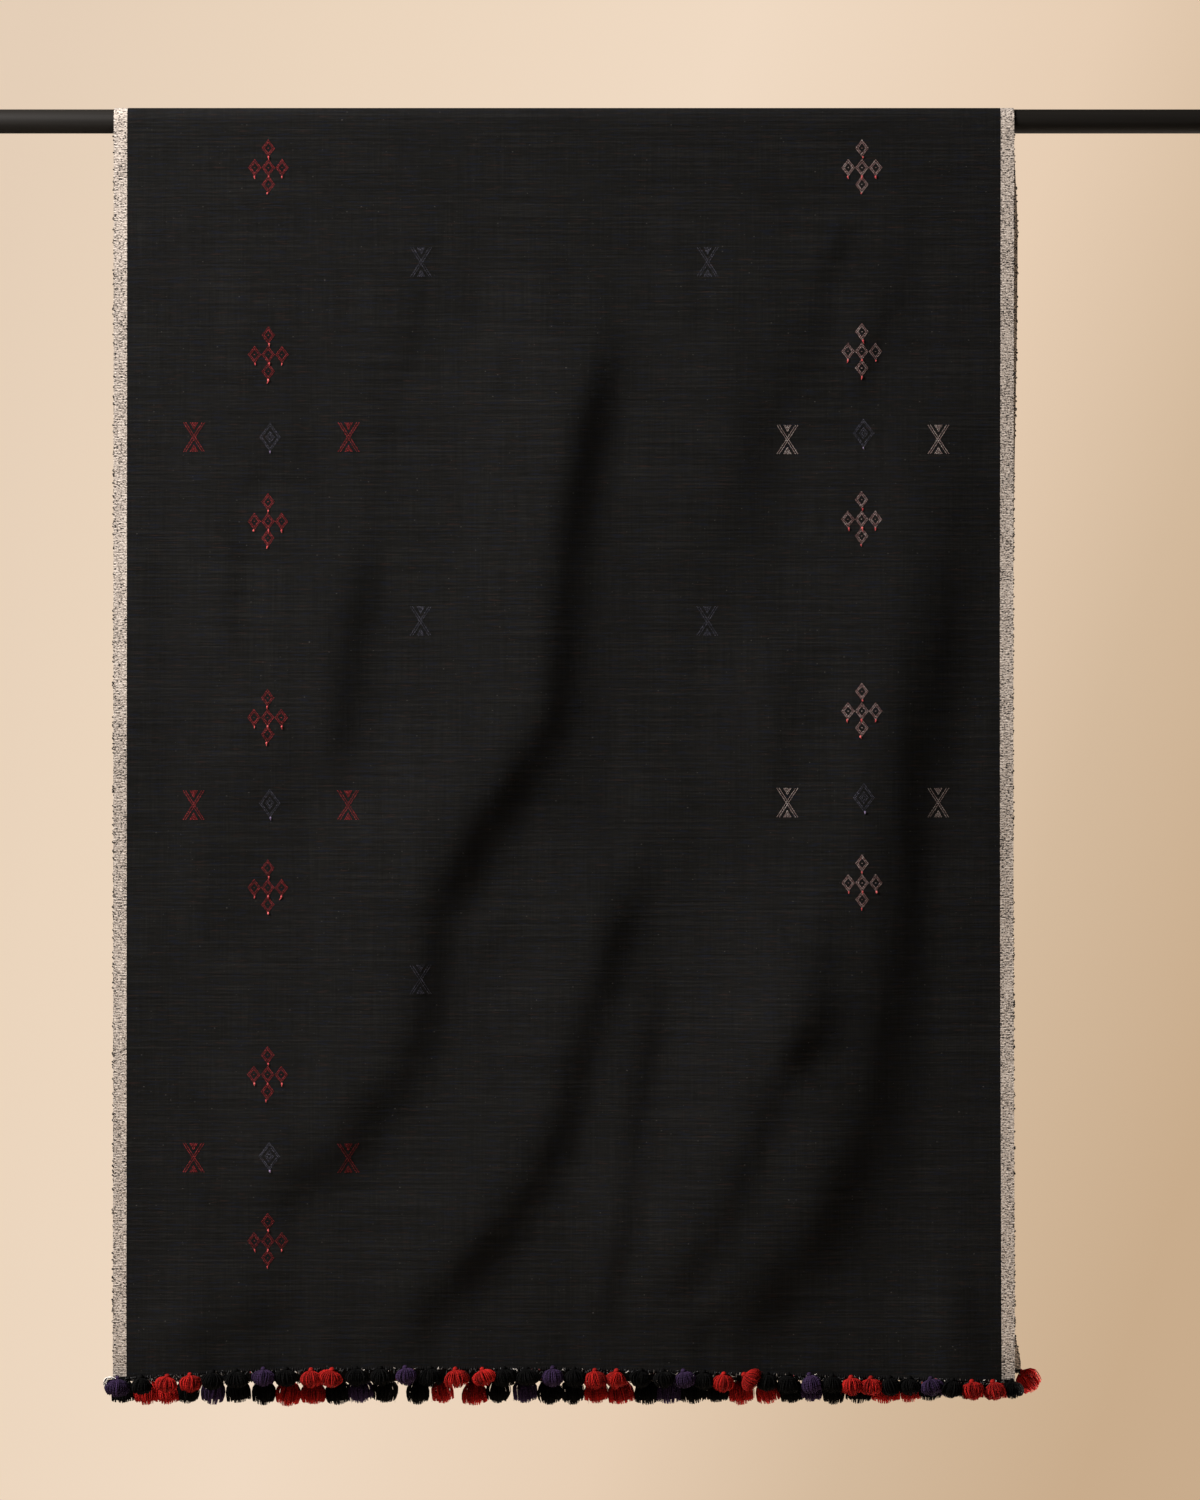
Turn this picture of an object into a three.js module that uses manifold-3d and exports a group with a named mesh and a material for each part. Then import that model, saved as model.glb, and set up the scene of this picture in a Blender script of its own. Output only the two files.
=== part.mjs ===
// A handwoven black shawl folded in half over a round rod. Its two falls hang free, a light
// border runs down each selvedge, and a row of small bell-shaped yarn tassels in black, red
// and purple edges each hem.
//
// Units are millimetres. +X is to the right, +Y to the back and +Z up. The origin is on the
// rod's axis, half way along the rod. A fall's depth is how far it stands out from that axis,
// forwards on the front fall and backwards on the back fall.
import * as THREE from "three";
import { mergeVertices } from "three/addons/utils/BufferGeometryUtils.js";
import Module from "manifold-3d";

const wasm = await Module();
wasm.setup();

// The rod
const ROD_DIAMETER = 19;
const ROD_LENGTH = 1100;
const ROD_SIDES = 32;

// The cloth
const SHAWL_WIDTH = 710;
const CLOTH_THICKNESS = 1.5;
const BORDER_WIDTH = 10.6;
const SEAM_GAP = 0.3;
const HALF_WIDTH = SHAWL_WIDTH / 2;
const TURN_RADIUS = ROD_DIAMETER / 2 + SEAM_GAP + CLOTH_THICKNESS / 2;
const TURN_STEPS = 12;
const FOLD_SAMPLES = 40;
const FOLD_REACH = 3.6; // a fold's broad side dies away over this many of its widths

// The knotted band along each hem, and the tassels sewn to it
const BAND_HEIGHT = 4.4;
const TASSEL_LENGTH = 17.5;
const TASSEL_RADIUS = 7.3;
const TASSEL_SIDE_GAP = 0.45;
const HEAD_RADIUS = 2.7;
const HEAD_WIDEST = 0.85 * HEAD_RADIUS;
const HEAD_SIDES = 6;
const HEAD_SINK = 1.0; // how far a black tassel's head is sunk into the band
const LOCKS_PER_TASSEL = 3;
const LOCK_SIDES = 4;
const BRIDGE_HEIGHT = 2.6;
const BRIDGE_THICKNESS = 1.2;

const COLOURS = {
  black: { color: 0x1c1b1b, roughness: 0.95, metalness: 0 },
  red: { color: 0xa51d1a, roughness: 0.9, metalness: 0 },
  purple: { color: 0x3f2d4d, roughness: 0.9, metalness: 0 },
  cloth: { color: 0x201f1f, roughness: 0.9, metalness: 0 },
  border: { color: 0xb8aa9e, roughness: 0.9, metalness: 0 },
  rod: { color: 0x2b2926, roughness: 0.55, metalness: 0.1 },
};

// A fold's path runs through its points [x, z], from its upper end down. Left of it the cloth
// swells out, and across it the cloth steps back by about twice the fold's depth, within its width
// on either side. A fall stands out by its spread more at the hem than at the rod. Its tassels
// are given by their x, from the left.
const FRONT = {
  name: "front",
  side: -1,
  columns: 38,
  rows: 26,
  foldsLean: -1, // they run down to the left
  spread: 9,
  hem: [[-355, -990.5], [-240, -983.2], [-10, -982.3], [160, -986.5], [355, -992]],
  leftEdge: [[-355, 0], [-355, -500], [-355, -1000]],
  rightEdge: [[355, 0], [354, -500], [355, -1000]],
  folds: [
    // long diagonal
    { depth: 5.6, width: 13, path: [[46, -120], [26, -205], [8, -300], [-4, -386], [-24, -460],
      [-62, -548], [-108, -650], [-160, -780], [-242, -874]] },
    // middle diagonal
    { depth: 5.0, width: 13, path: [[54, -540], [32, -650], [3, -732], [-22, -804], [-64, -888],
      [-120, -990]] },
    // right sweep
    { depth: 7.6, width: 20, path: [[330, -185], [308, -310], [288, -449], [276, -570], [252, -668],
      [246, -764], [212, -885], [110, -1020]] },
    // upper right
    { depth: 3.4, width: 14, path: [[222, -90], [190, -165], [150, -240], [138, -320], [130, -450]] },
    // left short
    { depth: 3.4, width: 12, path: [[-152, -275], [-169, -354], [-177, -440], [-187, -540]] },
    // low middle
    { depth: 2.8, width: 11, path: [[92, -680], [68, -764], [46, -832], [2, -955]] },
    // low right
    { depth: 4.2, width: 12, path: [[184, -700], [172, -762], [136, -832], [84, -915], [20, -1010]] },
    // small right
    { depth: 2.0, width: 10, path: [[216, -560], [202, -612], [190, -669], [176, -720]] },
    // lower small right
    { depth: 2.0, width: 9, path: [[232, -682], [212, -708], [190, -734], [176, -756]] },
    // corner
    { depth: 2.2, width: 10, path: [[306, -880], [318, -930], [330, -970], [348, -1040]] },
    // left crease
    { depth: 1.6, width: 9, path: [[-196, -930], [-240, -946], [-290, -960], [-345, -975]] },
  ],
  tassels: [-351.2, -332.8, -311.9, -294.1, -276.4, -257.9, -236.4, -218.5, -198.8, -182.4, -163.4,
    -144.2, -124.9, -105.1, -85.3, -64.2, -47.1, -29.2, -8.7, 7.9, 24.4, 41.5, 60.7, 78, 94, 110.1,
    125.8, 141.8, 160, 176.5, 193.1, 210.9, 226, 241.5, 256.1, 271.9, 288.4, 305.5, 320.7, 337.3, 352.4],
  colourRun: ["purple", "black", "red", "red", "black", "black"],
};

const BACK = {
  name: "back",
  side: 1,
  columns: 26,
  rows: 18,
  foldsLean: 1,
  spread: 8,
  hem: [[-355, -997.5], [-180, -998], [60, -997.5], [250, -995.5], [363, -988]],
  leftEdge: [[-355, 0], [-353, -500], [-356, -1000]],
  rightEdge: [[355, 0], [359, -90], [356, -330], [355, -800], [356.5, -930], [364, -992]],
  folds: [
    // long left
    { depth: 5.0, width: 15, path: [[-120, -150], [-104, -330], [-78, -500], [-34, -690],
      [12, -850], [64, -1050]] },
    // right fall
    { depth: 5.4, width: 17, path: [[186, -240], [190, -400], [202, -560], [232, -740], [296, -1050]] },
    // left edge
    { depth: 4.2, width: 14, path: [[-246, -370], [-262, -560], [-252, -760], [-212, -1050]] },
    // low centre
    { depth: 4.0, width: 13, path: [[56, -520], [80, -680], [128, -850], [204, -1050]] },
    // short low
    { depth: 3.0, width: 12, path: [[-34, -790], [-52, -880], [-74, -960], [-104, -1050]] },
  ],
  tassels: [-350.6, -332.1, -315.6, -299.1, -277.6, -260, -238.4, -218, -199.4, -180.9, -163.4,
    -142, -116.6, -97.7, -72, -52.2, -31.7, -12, 5.3, 24.4, 43.8, 65.4, 82.5, 101.1, 120.9, 139.3,
    159.8, 178.9, 196.8, 214.6, 234.4, 254.2, 272.7, 289.9, 305.7, 320, 334, 347, 360],
  colourRun: ["black", "red", "red", "black", "purple", "black"],
};

const clamp01 = (v) => Math.min(1, Math.max(0, v));
const smooth = (v) => clamp01(v) ** 2 * (3 - 2 * clamp01(v));
const mix = (a, b, t) => a + (b - a) * t;

// The second value of a short table of [key, value] rows at a key, on a smooth curve through them.
function curveAt(rows, key) {
  const last = rows.length - 1;
  const rising = rows[last][0] > rows[0][0];
  let i = 0;
  while (i < last - 1 && (rising ? key > rows[i + 1][0] : key < rows[i + 1][0])) i += 1;
  const [k0, v0] = rows[i];
  const [k1, v1] = rows[i + 1];
  const before = rows[Math.max(i - 1, 0)];
  const after = rows[Math.min(i + 2, last)];
  const slope0 = (v1 - before[1]) / (k1 - before[0]);
  const slope1 = (after[1] - v0) / (after[0] - k0);
  const t = clamp01((key - k0) / (k1 - k0));
  const span = k1 - k0;
  return (
    v0 * (1 + 2 * t) * (1 - t) ** 2 +
    slope0 * span * t * (1 - t) ** 2 +
    v1 * t * t * (3 - 2 * t) -
    slope1 * span * t * t * (1 - t)
  );
}

// A table of [value, key] rows, as an edge has, turned round for curveAt.
const edgeAt = (rows, z) => curveAt(rows.map(([x, level]) => [level, x]), z);

// Points and directions along a fold's path.
function samplesOf(fold) {
  const curve = new THREE.SplineCurve(fold.path.map(([x, z]) => new THREE.Vector2(x, z)));
  return Array.from({ length: FOLD_SAMPLES + 1 }, (_, i) => {
    const t = i / FOLD_SAMPLES;
    return { t, at: curve.getPoint(t), along: curve.getTangent(t) };
  });
}
for (const fall of [FRONT, BACK]) for (const fold of fall.folds) fold.samples = samplesOf(fold);

// How far one fold lifts the cloth out at (x, z): nothing on the right of its path, and on the
// left a swelling that dies away sideways and towards both ends.
function foldLift(fold, x, z) {
  let nearest = fold.samples[0];
  let least = Infinity;
  for (const sample of fold.samples) {
    const d = Math.hypot(x - sample.at.x, z - sample.at.y);
    if (d < least) {
      least = d;
      nearest = sample;
    }
  }
  const { t, at, along } = nearest;
  const across = -(x - at.x) * along.y + (z - at.y) * along.x;
  const ends = smooth(t / 0.42) * smooth((1 - t) / 0.3);
  const fade = Math.exp(-((across / (FOLD_REACH * fold.width)) ** 2));
  return fold.depth * (1 - Math.tanh(across / fold.width)) * fade * ends;
}

// A fall's depth at (x, z).
function depthAt(fall, x, z) {
  const folds = fall.folds.reduce((sum, fold) => sum + foldLift(fold, x, z), 0);
  return TURN_RADIUS + (fall.spread * z) / fall.hem[0][1] + folds;
}

// The middle of a fall's cloth at a share of its width, from the left, and of its drop.
function fallPoint(fall, across, down) {
  const level = down * fall.hem[0][1];
  const x = mix(edgeAt(fall.leftEdge, level), edgeAt(fall.rightEdge, level), across);
  const z = mix(-SEAM_GAP / 2, curveAt(fall.hem, x), down);
  return new THREE.Vector3(x, fall.side * depthAt(fall, x, z), z);
}

// The same for the stretch over the rod, from the front fall to the back one.
function turnPoint(across, over) {
  const start = Math.asin(SEAM_GAP / 2 / TURN_RADIUS);
  const angle = mix(Math.PI - start, start, over);
  const x = mix(-HALF_WIDTH, HALF_WIDTH, across);
  return new THREE.Vector3(x, TURN_RADIUS * Math.cos(angle), TURN_RADIUS * Math.sin(angle));
}

// A closed wall of an even thickness, half on each side of a surface given at (u, v), where u
// runs to the right and v down or over. Each cell is split along the way the folds lean.
function wall(surface, us, vs, thickness, lean = 1) {
  const step = 1e-3;
  const places = [];
  for (const v of vs) {
    for (const u of us) {
      const du = surface(u + step, v).sub(surface(u - step, v));
      const dv = surface(u, v + step).sub(surface(u, v - step));
      const normal = du.cross(dv).normalize();
      places.push({ at: surface(u, v), normal });
    }
  }
  const positions = [];
  for (const half of [thickness / 2, -thickness / 2]) {
    for (const { at, normal } of places) positions.push(...at.clone().addScaledVector(normal, half));
  }
  const index = [];
  const outer = (c, r) => r * us.length + c;
  const inner = (c, r) => places.length + outer(c, r);
  const quad = (a, b, c, d) => {
    if (lean > 0) index.push(a, b, c, a, c, d);
    else index.push(a, b, d, b, c, d);
  };
  const [lastC, lastR] = [us.length - 1, vs.length - 1];
  for (let r = 0; r < lastR; r += 1) {
    for (let c = 0; c < lastC; c += 1) {
      quad(outer(c, r), outer(c + 1, r), outer(c + 1, r + 1), outer(c, r + 1));
      quad(inner(c + 1, r), inner(c, r), inner(c, r + 1), inner(c + 1, r + 1));
    }
    quad(outer(0, r), outer(0, r + 1), inner(0, r + 1), inner(0, r));
    quad(outer(lastC, r + 1), outer(lastC, r), inner(lastC, r), inner(lastC, r + 1));
  }
  for (let c = 0; c < lastC; c += 1) {
    quad(outer(c + 1, 0), outer(c, 0), inner(c, 0), inner(c + 1, 0));
    quad(outer(c, lastR), outer(c + 1, lastR), inner(c + 1, lastR), inner(c, lastR));
  }
  const geometry = new THREE.BufferGeometry();
  geometry.setAttribute("position", new THREE.Float32BufferAttribute(positions, 3));
  geometry.setIndex(index);
  return geometry;
}

// A geometry as a solid for joining, with its faces pointing out.
function solidOf(geometry) {
  const bare = geometry.clone();
  bare.deleteAttribute("normal");
  bare.deleteAttribute("uv");
  const merged = mergeVertices(bare, 1e-4);
  const corners = merged.index.array;
  const triVerts = [];
  for (let i = 0; i < corners.length; i += 3) {
    const [a, b, c] = [corners[i], corners[i + 1], corners[i + 2]];
    if (a !== b && b !== c && c !== a) triVerts.push(a, b, c);
  }
  const vertProperties = new Float32Array(merged.attributes.position.array);
  const build = (order) =>
    new wasm.Manifold(new wasm.Mesh({ numProp: 3, vertProperties, triVerts: new Uint32Array(order) }));
  const solid = build(triVerts);
  return solid.volume() > 0 ? solid : build(triVerts.toReversed());
}

// A solid as a geometry for a mesh.
function geometryOf(solid) {
  const { vertProperties, triVerts } = solid.getMesh();
  const geometry = new THREE.BufferGeometry();
  geometry.setAttribute("position", new THREE.BufferAttribute(vertProperties, 3));
  geometry.setIndex(new THREE.BufferAttribute(triVerts, 1));
  geometry.computeVertexNormals();
  return geometry;
}

function meshOf(name, geometry, colour) {
  if (!geometry.getAttribute("normal")) geometry.computeVertexNormals();
  const mesh = new THREE.Mesh(geometry, new THREE.MeshStandardMaterial(COLOURS[colour]));
  mesh.name = name;
  return mesh;
}

// Even stations from one share of the width to another.
function stations(from, to, steps) {
  return Array.from({ length: steps + 1 }, (_, i) => mix(from, to, i / steps));
}

// The dark ground and the light borders on either side of it, as shares of the width.
const BORDER_SHARE = BORDER_WIDTH / SHAWL_WIDTH;
const HALF_SEAM = SEAM_GAP / 2 / SHAWL_WIDTH;
const GROUND = { name: "ground", from: BORDER_SHARE + HALF_SEAM, to: 1 - BORDER_SHARE - HALF_SEAM };
const STRIPES = [
  { name: "border_left", from: 0, to: BORDER_SHARE - HALF_SEAM },
  GROUND,
  { name: "border_right", from: 1 - BORDER_SHARE + HALF_SEAM, to: 1 },
];

// One fall of cloth, or the turn over the rod, as its ground and its two borders.
function stretchOfCloth(name, surface, columns, rows, lean) {
  return STRIPES.map((stripe) => {
    const [steps, colour] = stripe === GROUND ? [columns, "cloth"] : [1, "border"];
    const across = stations(stripe.from, stripe.to, steps);
    const geometry = wall(surface, across, stations(0, 1, rows), CLOTH_THICKNESS, lean);
    return meshOf(`${name}_${stripe.name}`, geometry, colour);
  });
}

function fallMeshes(fall) {
  const surface = (u, v) => fallPoint(fall, u, v);
  return stretchOfCloth(`${fall.name}_fall`, surface, fall.columns, fall.rows, fall.foldsLean);
}

// The band's stations are the ground's own and its two ends.
const hemStations = (fall) => [0, ...stations(GROUND.from, GROUND.to, fall.columns), 1];
const hemLine = (fall) => hemStations(fall).map((u) => fallPoint(fall, u, 1));

// The point of a hem's line at x, and the level way out from the cloth there.
function placeOnLine(line, x, side) {
  const next = line.findIndex((point, i) => i > 0 && (point.x >= x || i === line.length - 1));
  const [a, b] = [line[next - 1], line[next]];
  const outward = new THREE.Vector3(a.y - b.y, b.x - a.x, 0).normalize().multiplyScalar(side);
  return { hem: a.clone().lerp(b, (x - a.x) / (b.x - a.x)), outward };
}

// The knotted band just under a fall's hem.
function hemBand(fall) {
  const surface = (u, v) => {
    const edge = fallPoint(fall, u, 1);
    return new THREE.Vector3(edge.x, edge.y, edge.z - mix(SEAM_GAP, BAND_HEIGHT, v));
  };
  return wall(surface, hemStations(fall), [0, 1], CLOTH_THICKNESS);
}

// Where each tassel of a fall hangs, and how wide its neighbours let it be.
function tasselPlaces(fall) {
  const line = hemLine(fall);
  return fall.tassels.map((x, i, all) => {
    const pitch = Math.min(...[all[i - 1], all[i + 1]].map((next) => Math.abs(next - x) || Infinity));
    return {
      colour: fall.colourRun[i % fall.colourRun.length],
      ...placeOnLine(line, x, fall.side),
      radius: Math.min(TASSEL_RADIUS, pitch / 2 - TASSEL_SIDE_GAP),
      turn: (((i * 5) % 12) * Math.PI) / 18,
    };
  });
}

// A body of revolution about Z from a profile of [radius, z] rows, lowest first.
function turned(profile, sides) {
  const lathe = new THREE.LatheGeometry(profile.map(([r, z]) => new THREE.Vector2(r, z)), sides);
  return lathe.rotateX(Math.PI / 2);
}

// Where the middle of a tassel's head is, so far out from the middle of the cloth.
function headAt({ hem, outward }, out) {
  return new THREE.Vector3(0, 0, -SEAM_GAP - HEAD_RADIUS).add(hem).addScaledVector(outward, out);
}

// One tassel: a small round head and three fat locks of yarn that spread from under it.
function tasselSolid(place, out) {
  const head = headAt(place, out);
  const [wide, half] = [HEAD_WIDEST, HEAD_RADIUS / 2];
  const knob = turned([[0, -HEAD_RADIUS], [wide, -half], [wide, half], [0, HEAD_RADIUS]], HEAD_SIDES);
  let tassel = solidOf(knob.translate(...head));
  const rootZ = head.z - 0.3 * HEAD_RADIUS;
  const length = TASSEL_LENGTH - (place.hem.z - rootZ);
  const fat = 0.46 * place.radius;
  for (let k = 0; k < LOCKS_PER_TASSEL; k += 1) {
    const lock = turned([[0, -length], [fat, -0.78 * length], [0, 0]], LOCK_SIDES);
    lock.rotateZ(Math.PI / 4);
    lock.rotateY(-Math.asin((place.radius - fat) / length));
    lock.rotateZ((k / LOCKS_PER_TASSEL) * 2 * Math.PI + place.turn);
    tassel = tassel.add(solidOf(lock.translate(head.x, head.y, rootZ)));
  }
  return tassel;
}

// The short strip of yarn that joins the heads of a pair of tassels.
function bridgeSolid([left, right], out) {
  const start = headAt(left, out);
  const run = headAt(right, out).sub(start);
  const strip = new THREE.BoxGeometry(run.length(), BRIDGE_THICKNESS, BRIDGE_HEIGHT);
  const turn = new THREE.Quaternion().setFromUnitVectors(
    new THREE.Vector3(1, 0, 0),
    run.clone().normalize(),
  );
  return solidOf(strip.applyQuaternion(turn).translate(...start.addScaledVector(run, 0.5)));
}

// The red pairs and the single purple tassels of a hem, each a run of one colour.
function runsOfColour(places) {
  const runs = [];
  for (const [i, place] of places.entries()) {
    if (place.colour === "black") continue;
    if (i > 0 && places[i - 1].colour === place.colour) runs.at(-1).push(place);
    else runs.push([place]);
  }
  return runs;
}

// A hem's fringe: the black tassels joined to the band, then each run of another colour as a
// piece of its own that lies on the band.
function fringeMeshes(fall) {
  const sunk = CLOTH_THICKNESS / 2 + HEAD_WIDEST - HEAD_SINK;
  const proud = CLOTH_THICKNESS / 2 + HEAD_WIDEST + SEAM_GAP;
  const places = tasselPlaces(fall);
  const black = places.filter((place) => place.colour === "black");
  const join = (a, b) => a.add(b);
  const band = black.map((place) => tasselSolid(place, sunk)).reduce(join, solidOf(hemBand(fall)));
  const meshes = [meshOf(`${fall.name}_fringe_black`, geometryOf(band), "black")];
  const counts = { red: 0, purple: 0 };
  for (const run of runsOfColour(places)) {
    const [{ colour }] = run;
    let solid = run.map((place) => tasselSolid(place, proud)).reduce(join);
    if (run.length > 1) solid = solid.add(bridgeSolid(run, proud));
    counts[colour] += 1;
    meshes.push(meshOf(`${fall.name}_${colour}_${counts[colour]}`, geometryOf(solid), colour));
  }
  return meshes;
}

function rodMesh() {
  const radius = ROD_DIAMETER / 2;
  const bar = new THREE.CylinderGeometry(radius, radius, ROD_LENGTH, ROD_SIDES);
  const mesh = meshOf("rod", bar, "rod");
  mesh.rotation.z = Math.PI / 2;
  return mesh;
}

const shawl = new THREE.Group();
shawl.add(rodMesh());
shawl.add(...stretchOfCloth("turn", turnPoint, 1, TURN_STEPS));
for (const fall of [FRONT, BACK]) shawl.add(...fallMeshes(fall), ...fringeMeshes(fall));

export default shawl;
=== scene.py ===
"""A handwoven black shawl, hung in half over a rod, dressed for its portrait.

The frame holds plain solids of the rod, the cloth and the tassels. Here the cloth becomes one
thin sheet with all its folds, the woven motifs are raised floats of yarn, and each tassel is a
bundle of strands. Sizes in the tables are in millimetres, in the part's own frame: +X runs to
the right along the rod, +Y to the back and +Z up, from the middle of the rod. Meshes are in
metres.
"""

import logging
import math
from collections.abc import Sequence
from dataclasses import dataclass, field
from enum import Enum

import bpy
import numpy as np
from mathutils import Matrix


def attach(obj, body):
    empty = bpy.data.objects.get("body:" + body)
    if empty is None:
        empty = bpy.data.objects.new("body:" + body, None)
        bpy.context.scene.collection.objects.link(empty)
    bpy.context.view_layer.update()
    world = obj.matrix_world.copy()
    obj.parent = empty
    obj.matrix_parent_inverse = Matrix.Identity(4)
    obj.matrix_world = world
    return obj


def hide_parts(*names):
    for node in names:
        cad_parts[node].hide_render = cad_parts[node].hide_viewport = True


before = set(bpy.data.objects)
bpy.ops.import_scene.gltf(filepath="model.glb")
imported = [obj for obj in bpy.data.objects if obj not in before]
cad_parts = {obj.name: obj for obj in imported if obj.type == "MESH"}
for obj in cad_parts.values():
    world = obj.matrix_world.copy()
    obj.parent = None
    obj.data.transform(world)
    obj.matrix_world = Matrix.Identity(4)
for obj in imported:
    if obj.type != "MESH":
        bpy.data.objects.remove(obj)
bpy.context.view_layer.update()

LOG = logging.getLogger("shawl")
MM = 0.001
FULL_TURN = 2.0 * math.pi
GOLDEN_TURN = 2.399963  # the turn between neighbours that fills a disc evenly
ANY_PHASE = 6.3  # the upper end of a random turn

Array = np.ndarray
Socket = bpy.types.NodeSocket
Shape = bpy.types.Object
Point = tuple[float, float]
Span = tuple[float, float]  # the least and the most of a random draw
Colour = tuple[float, float, float]
Stops = Sequence[tuple[float, Colour]]
Grain = tuple[float, float, float]  # a noise's features in a metre across and along, and its layer

FUZZ: Grain = (3.0, 900.0, 1.0)  # the hairiness of every yarn


class Side(Enum):
    """The two falls of the shawl, by the way that they face along Y."""

    FRONT = -1
    BACK = 1

    @property
    def word(self) -> str:
        """The side's name in node and piece names."""
        return self.name.lower()


class Yarn(Enum):
    """The colours of yarn that the tassels are made of."""

    BLACK = "black"
    RED = "red"
    PURPLE = "purple"


class Motif(Enum):
    """The woven ornaments."""

    CROSS = "cross of five diamonds"
    HOURGLASS = "hourglass"
    DIAMOND = "single diamond"


def smooth(value: Array) -> Array:
    """The smooth step of a value between 0 and 1."""
    value = np.clip(value, 0.0, 1.0)
    return value * value * (3.0 - 2.0 * value)


def unit(vectors: Array) -> Array:
    """The vectors, each made one long."""
    return vectors / np.maximum(np.linalg.norm(vectors, axis=-1, keepdims=True), 1e-12)


def srgb(red: int, green: int, blue: int) -> Colour:
    """A colour given as on a screen, from 0 to 255, as the shader's linear values."""
    shares = (c / 255.0 for c in (red, green, blue))
    return tuple(c / 12.92 if c <= 0.04045 else ((c + 0.055) / 1.055) ** 2.4 for c in shares)


# Materials


def set_stops(ramp: bpy.types.Node, stops: Stops) -> None:
    """Gives a colour ramp its stops.

    Args:
        ramp: the ramp's node.
        stops: the place and the colour of each, from low to high.
    """
    elements = ramp.color_ramp.elements
    while len(elements) < len(stops):
        elements.new(0.5)
    for element, (at, colour) in zip(elements, stops):
        element.position = at
        element.color = (*colour, 1.0)


class Recipe:
    """A material whose nodes are added one at a time."""

    def __init__(self, name: str) -> None:
        """Starts the material.

        Args:
            name: the material's name.
        """
        self.material = bpy.data.materials.new(name)
        self.material.use_nodes = True
        self.tree = self.material.node_tree
        self.shader = self.tree.nodes["Principled BSDF"]

    def set(self, **values: float | Colour) -> None:
        """Sets plain values on the shader's sockets.

        Args:
            values: socket names, with a low line for each space, and their values.
        """
        for name, value in values.items():
            socket = self.shader.inputs[name.replace("_", " ")]
            socket.default_value = (*value, 1.0) if isinstance(value, tuple) else value

    def node(self, kind: str, **inputs: object) -> bpy.types.Node:
        """Adds a node.

        Args:
            kind: the node's type, without its ShaderNode prefix.
            inputs: a socket or a value for each named input.

        Returns:
            The new node.
        """
        made = self.tree.nodes.new("ShaderNode" + kind)
        for name, value in inputs.items():
            socket = made.inputs[name.replace("_", " ")]
            if isinstance(value, Socket):
                self.tree.links.new(value, socket)
            else:
                socket.default_value = value
        return made

    def place(self, across: float, along: float, layer: float = 1.0) -> Socket:
        """The piece's own flat coordinates, scaled.

        Args:
            across: features in a metre across the cloth or round a strand.
            along: features in a metre along it.
            layer: how far to move the pattern, so that two of one scale differ.

        Returns:
            The scaled coordinate socket.
        """
        flat = self.node("UVMap").outputs["UV"]
        moved = self.node("Mapping", Vector=flat, Scale=(across, along, 1.0))
        moved.inputs["Location"].default_value = (layer * 3.7, layer * 5.3, layer)
        return moved.outputs["Vector"]

    def noise(self, where: Socket, detail: float = 2.0) -> Socket:
        """Noise with features about one long at a scaled coordinate.

        Args:
            where: the scaled coordinate.
            detail: how many finer layers it has.

        Returns:
            The noise value, about 0.5 on average.
        """
        made = self.node("TexNoise", Vector=where, Scale=1.0, Detail=detail, Roughness=0.55)
        return made.outputs["Fac"]

    def grain(self, grain: Grain, detail: float = 2.0) -> Socket:
        """Noise over the piece's flat coordinates, with so many finer layers."""
        return self.noise(self.place(*grain), detail)

    def inside(self, scale: tuple[float, float, float]) -> Socket:
        """The piece's own coordinates in the round, scaled."""
        where = self.node("TexCoord").outputs["Object"]
        return self.node("Mapping", Vector=where, Scale=scale).outputs["Vector"]

    def shade(self) -> Socket:
        """The shade that each strand was given, from 0 to 1."""
        made = self.tree.nodes.new("ShaderNodeAttribute")
        made.attribute_name = "shade"
        return made.outputs["Fac"]

    def ramp(self, value: Socket, stops: Stops) -> Socket:
        """A colour for each value.

        Args:
            value: the value to look up.
            stops: the colour at each stop, from low to high.

        Returns:
            The colour socket.
        """
        made = self.node("ValToRGB", Fac=value)
        set_stops(made, stops)
        return made.outputs["Color"]

    def step(self, value: Socket, low: float, high: float) -> Socket:
        """A value that goes from 0 at low to 1 at high."""
        made = self.node("MapRange", Value=value, From_Min=low, From_Max=high)
        return made.outputs["Result"]

    def sum(self, a: Socket, b: Socket, share: float) -> Socket:
        """Adds a share of one value to another.

        Args:
            a: the value that counts in full.
            b: the value to add a share of.
            share: how much of b is added.

        Returns:
            The sum.
        """
        made = self.tree.nodes.new("ShaderNodeMath")
        made.operation = "MULTIPLY_ADD"
        self.tree.links.new(b, made.inputs[0])
        made.inputs[1].default_value = share
        self.tree.links.new(a, made.inputs[2])
        return made.outputs[0]

    def blend(self, a: Socket | Colour, b: Socket | Colour, share: Socket) -> Socket:
        """Mixes two colours.

        Args:
            a: the colour at a share of 0.
            b: the colour at a share of 1.
            share: how much of b shows.

        Returns:
            The mixed colour socket.
        """
        made = self.tree.nodes.new("ShaderNodeMix")
        made.data_type = "RGBA"
        self.tree.links.new(share, made.inputs["Factor"])
        for socket, value in ((made.inputs[6], a), (made.inputs[7], b)):
            if isinstance(value, Socket):
                self.tree.links.new(value, socket)
            else:
                socket.default_value = (*value, 1.0)
        return made.outputs[2]

    def wave(self, where: Socket, across: bool, rough: float = 0.0) -> Socket:
        """Even ridges, one for each unit of a scaled coordinate.

        Args:
            where: the scaled coordinate.
            across: whether the ridges follow each other across rather than along.
            rough: how far noise bends them.

        Returns:
            The ridges' height, from 0 to 1.
        """
        made = self.node("TexWave", Vector=where, Scale=math.pi / 10.0, Distortion=rough)
        made.bands_direction = "X" if across else "Y"
        return made.outputs["Fac"]

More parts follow.
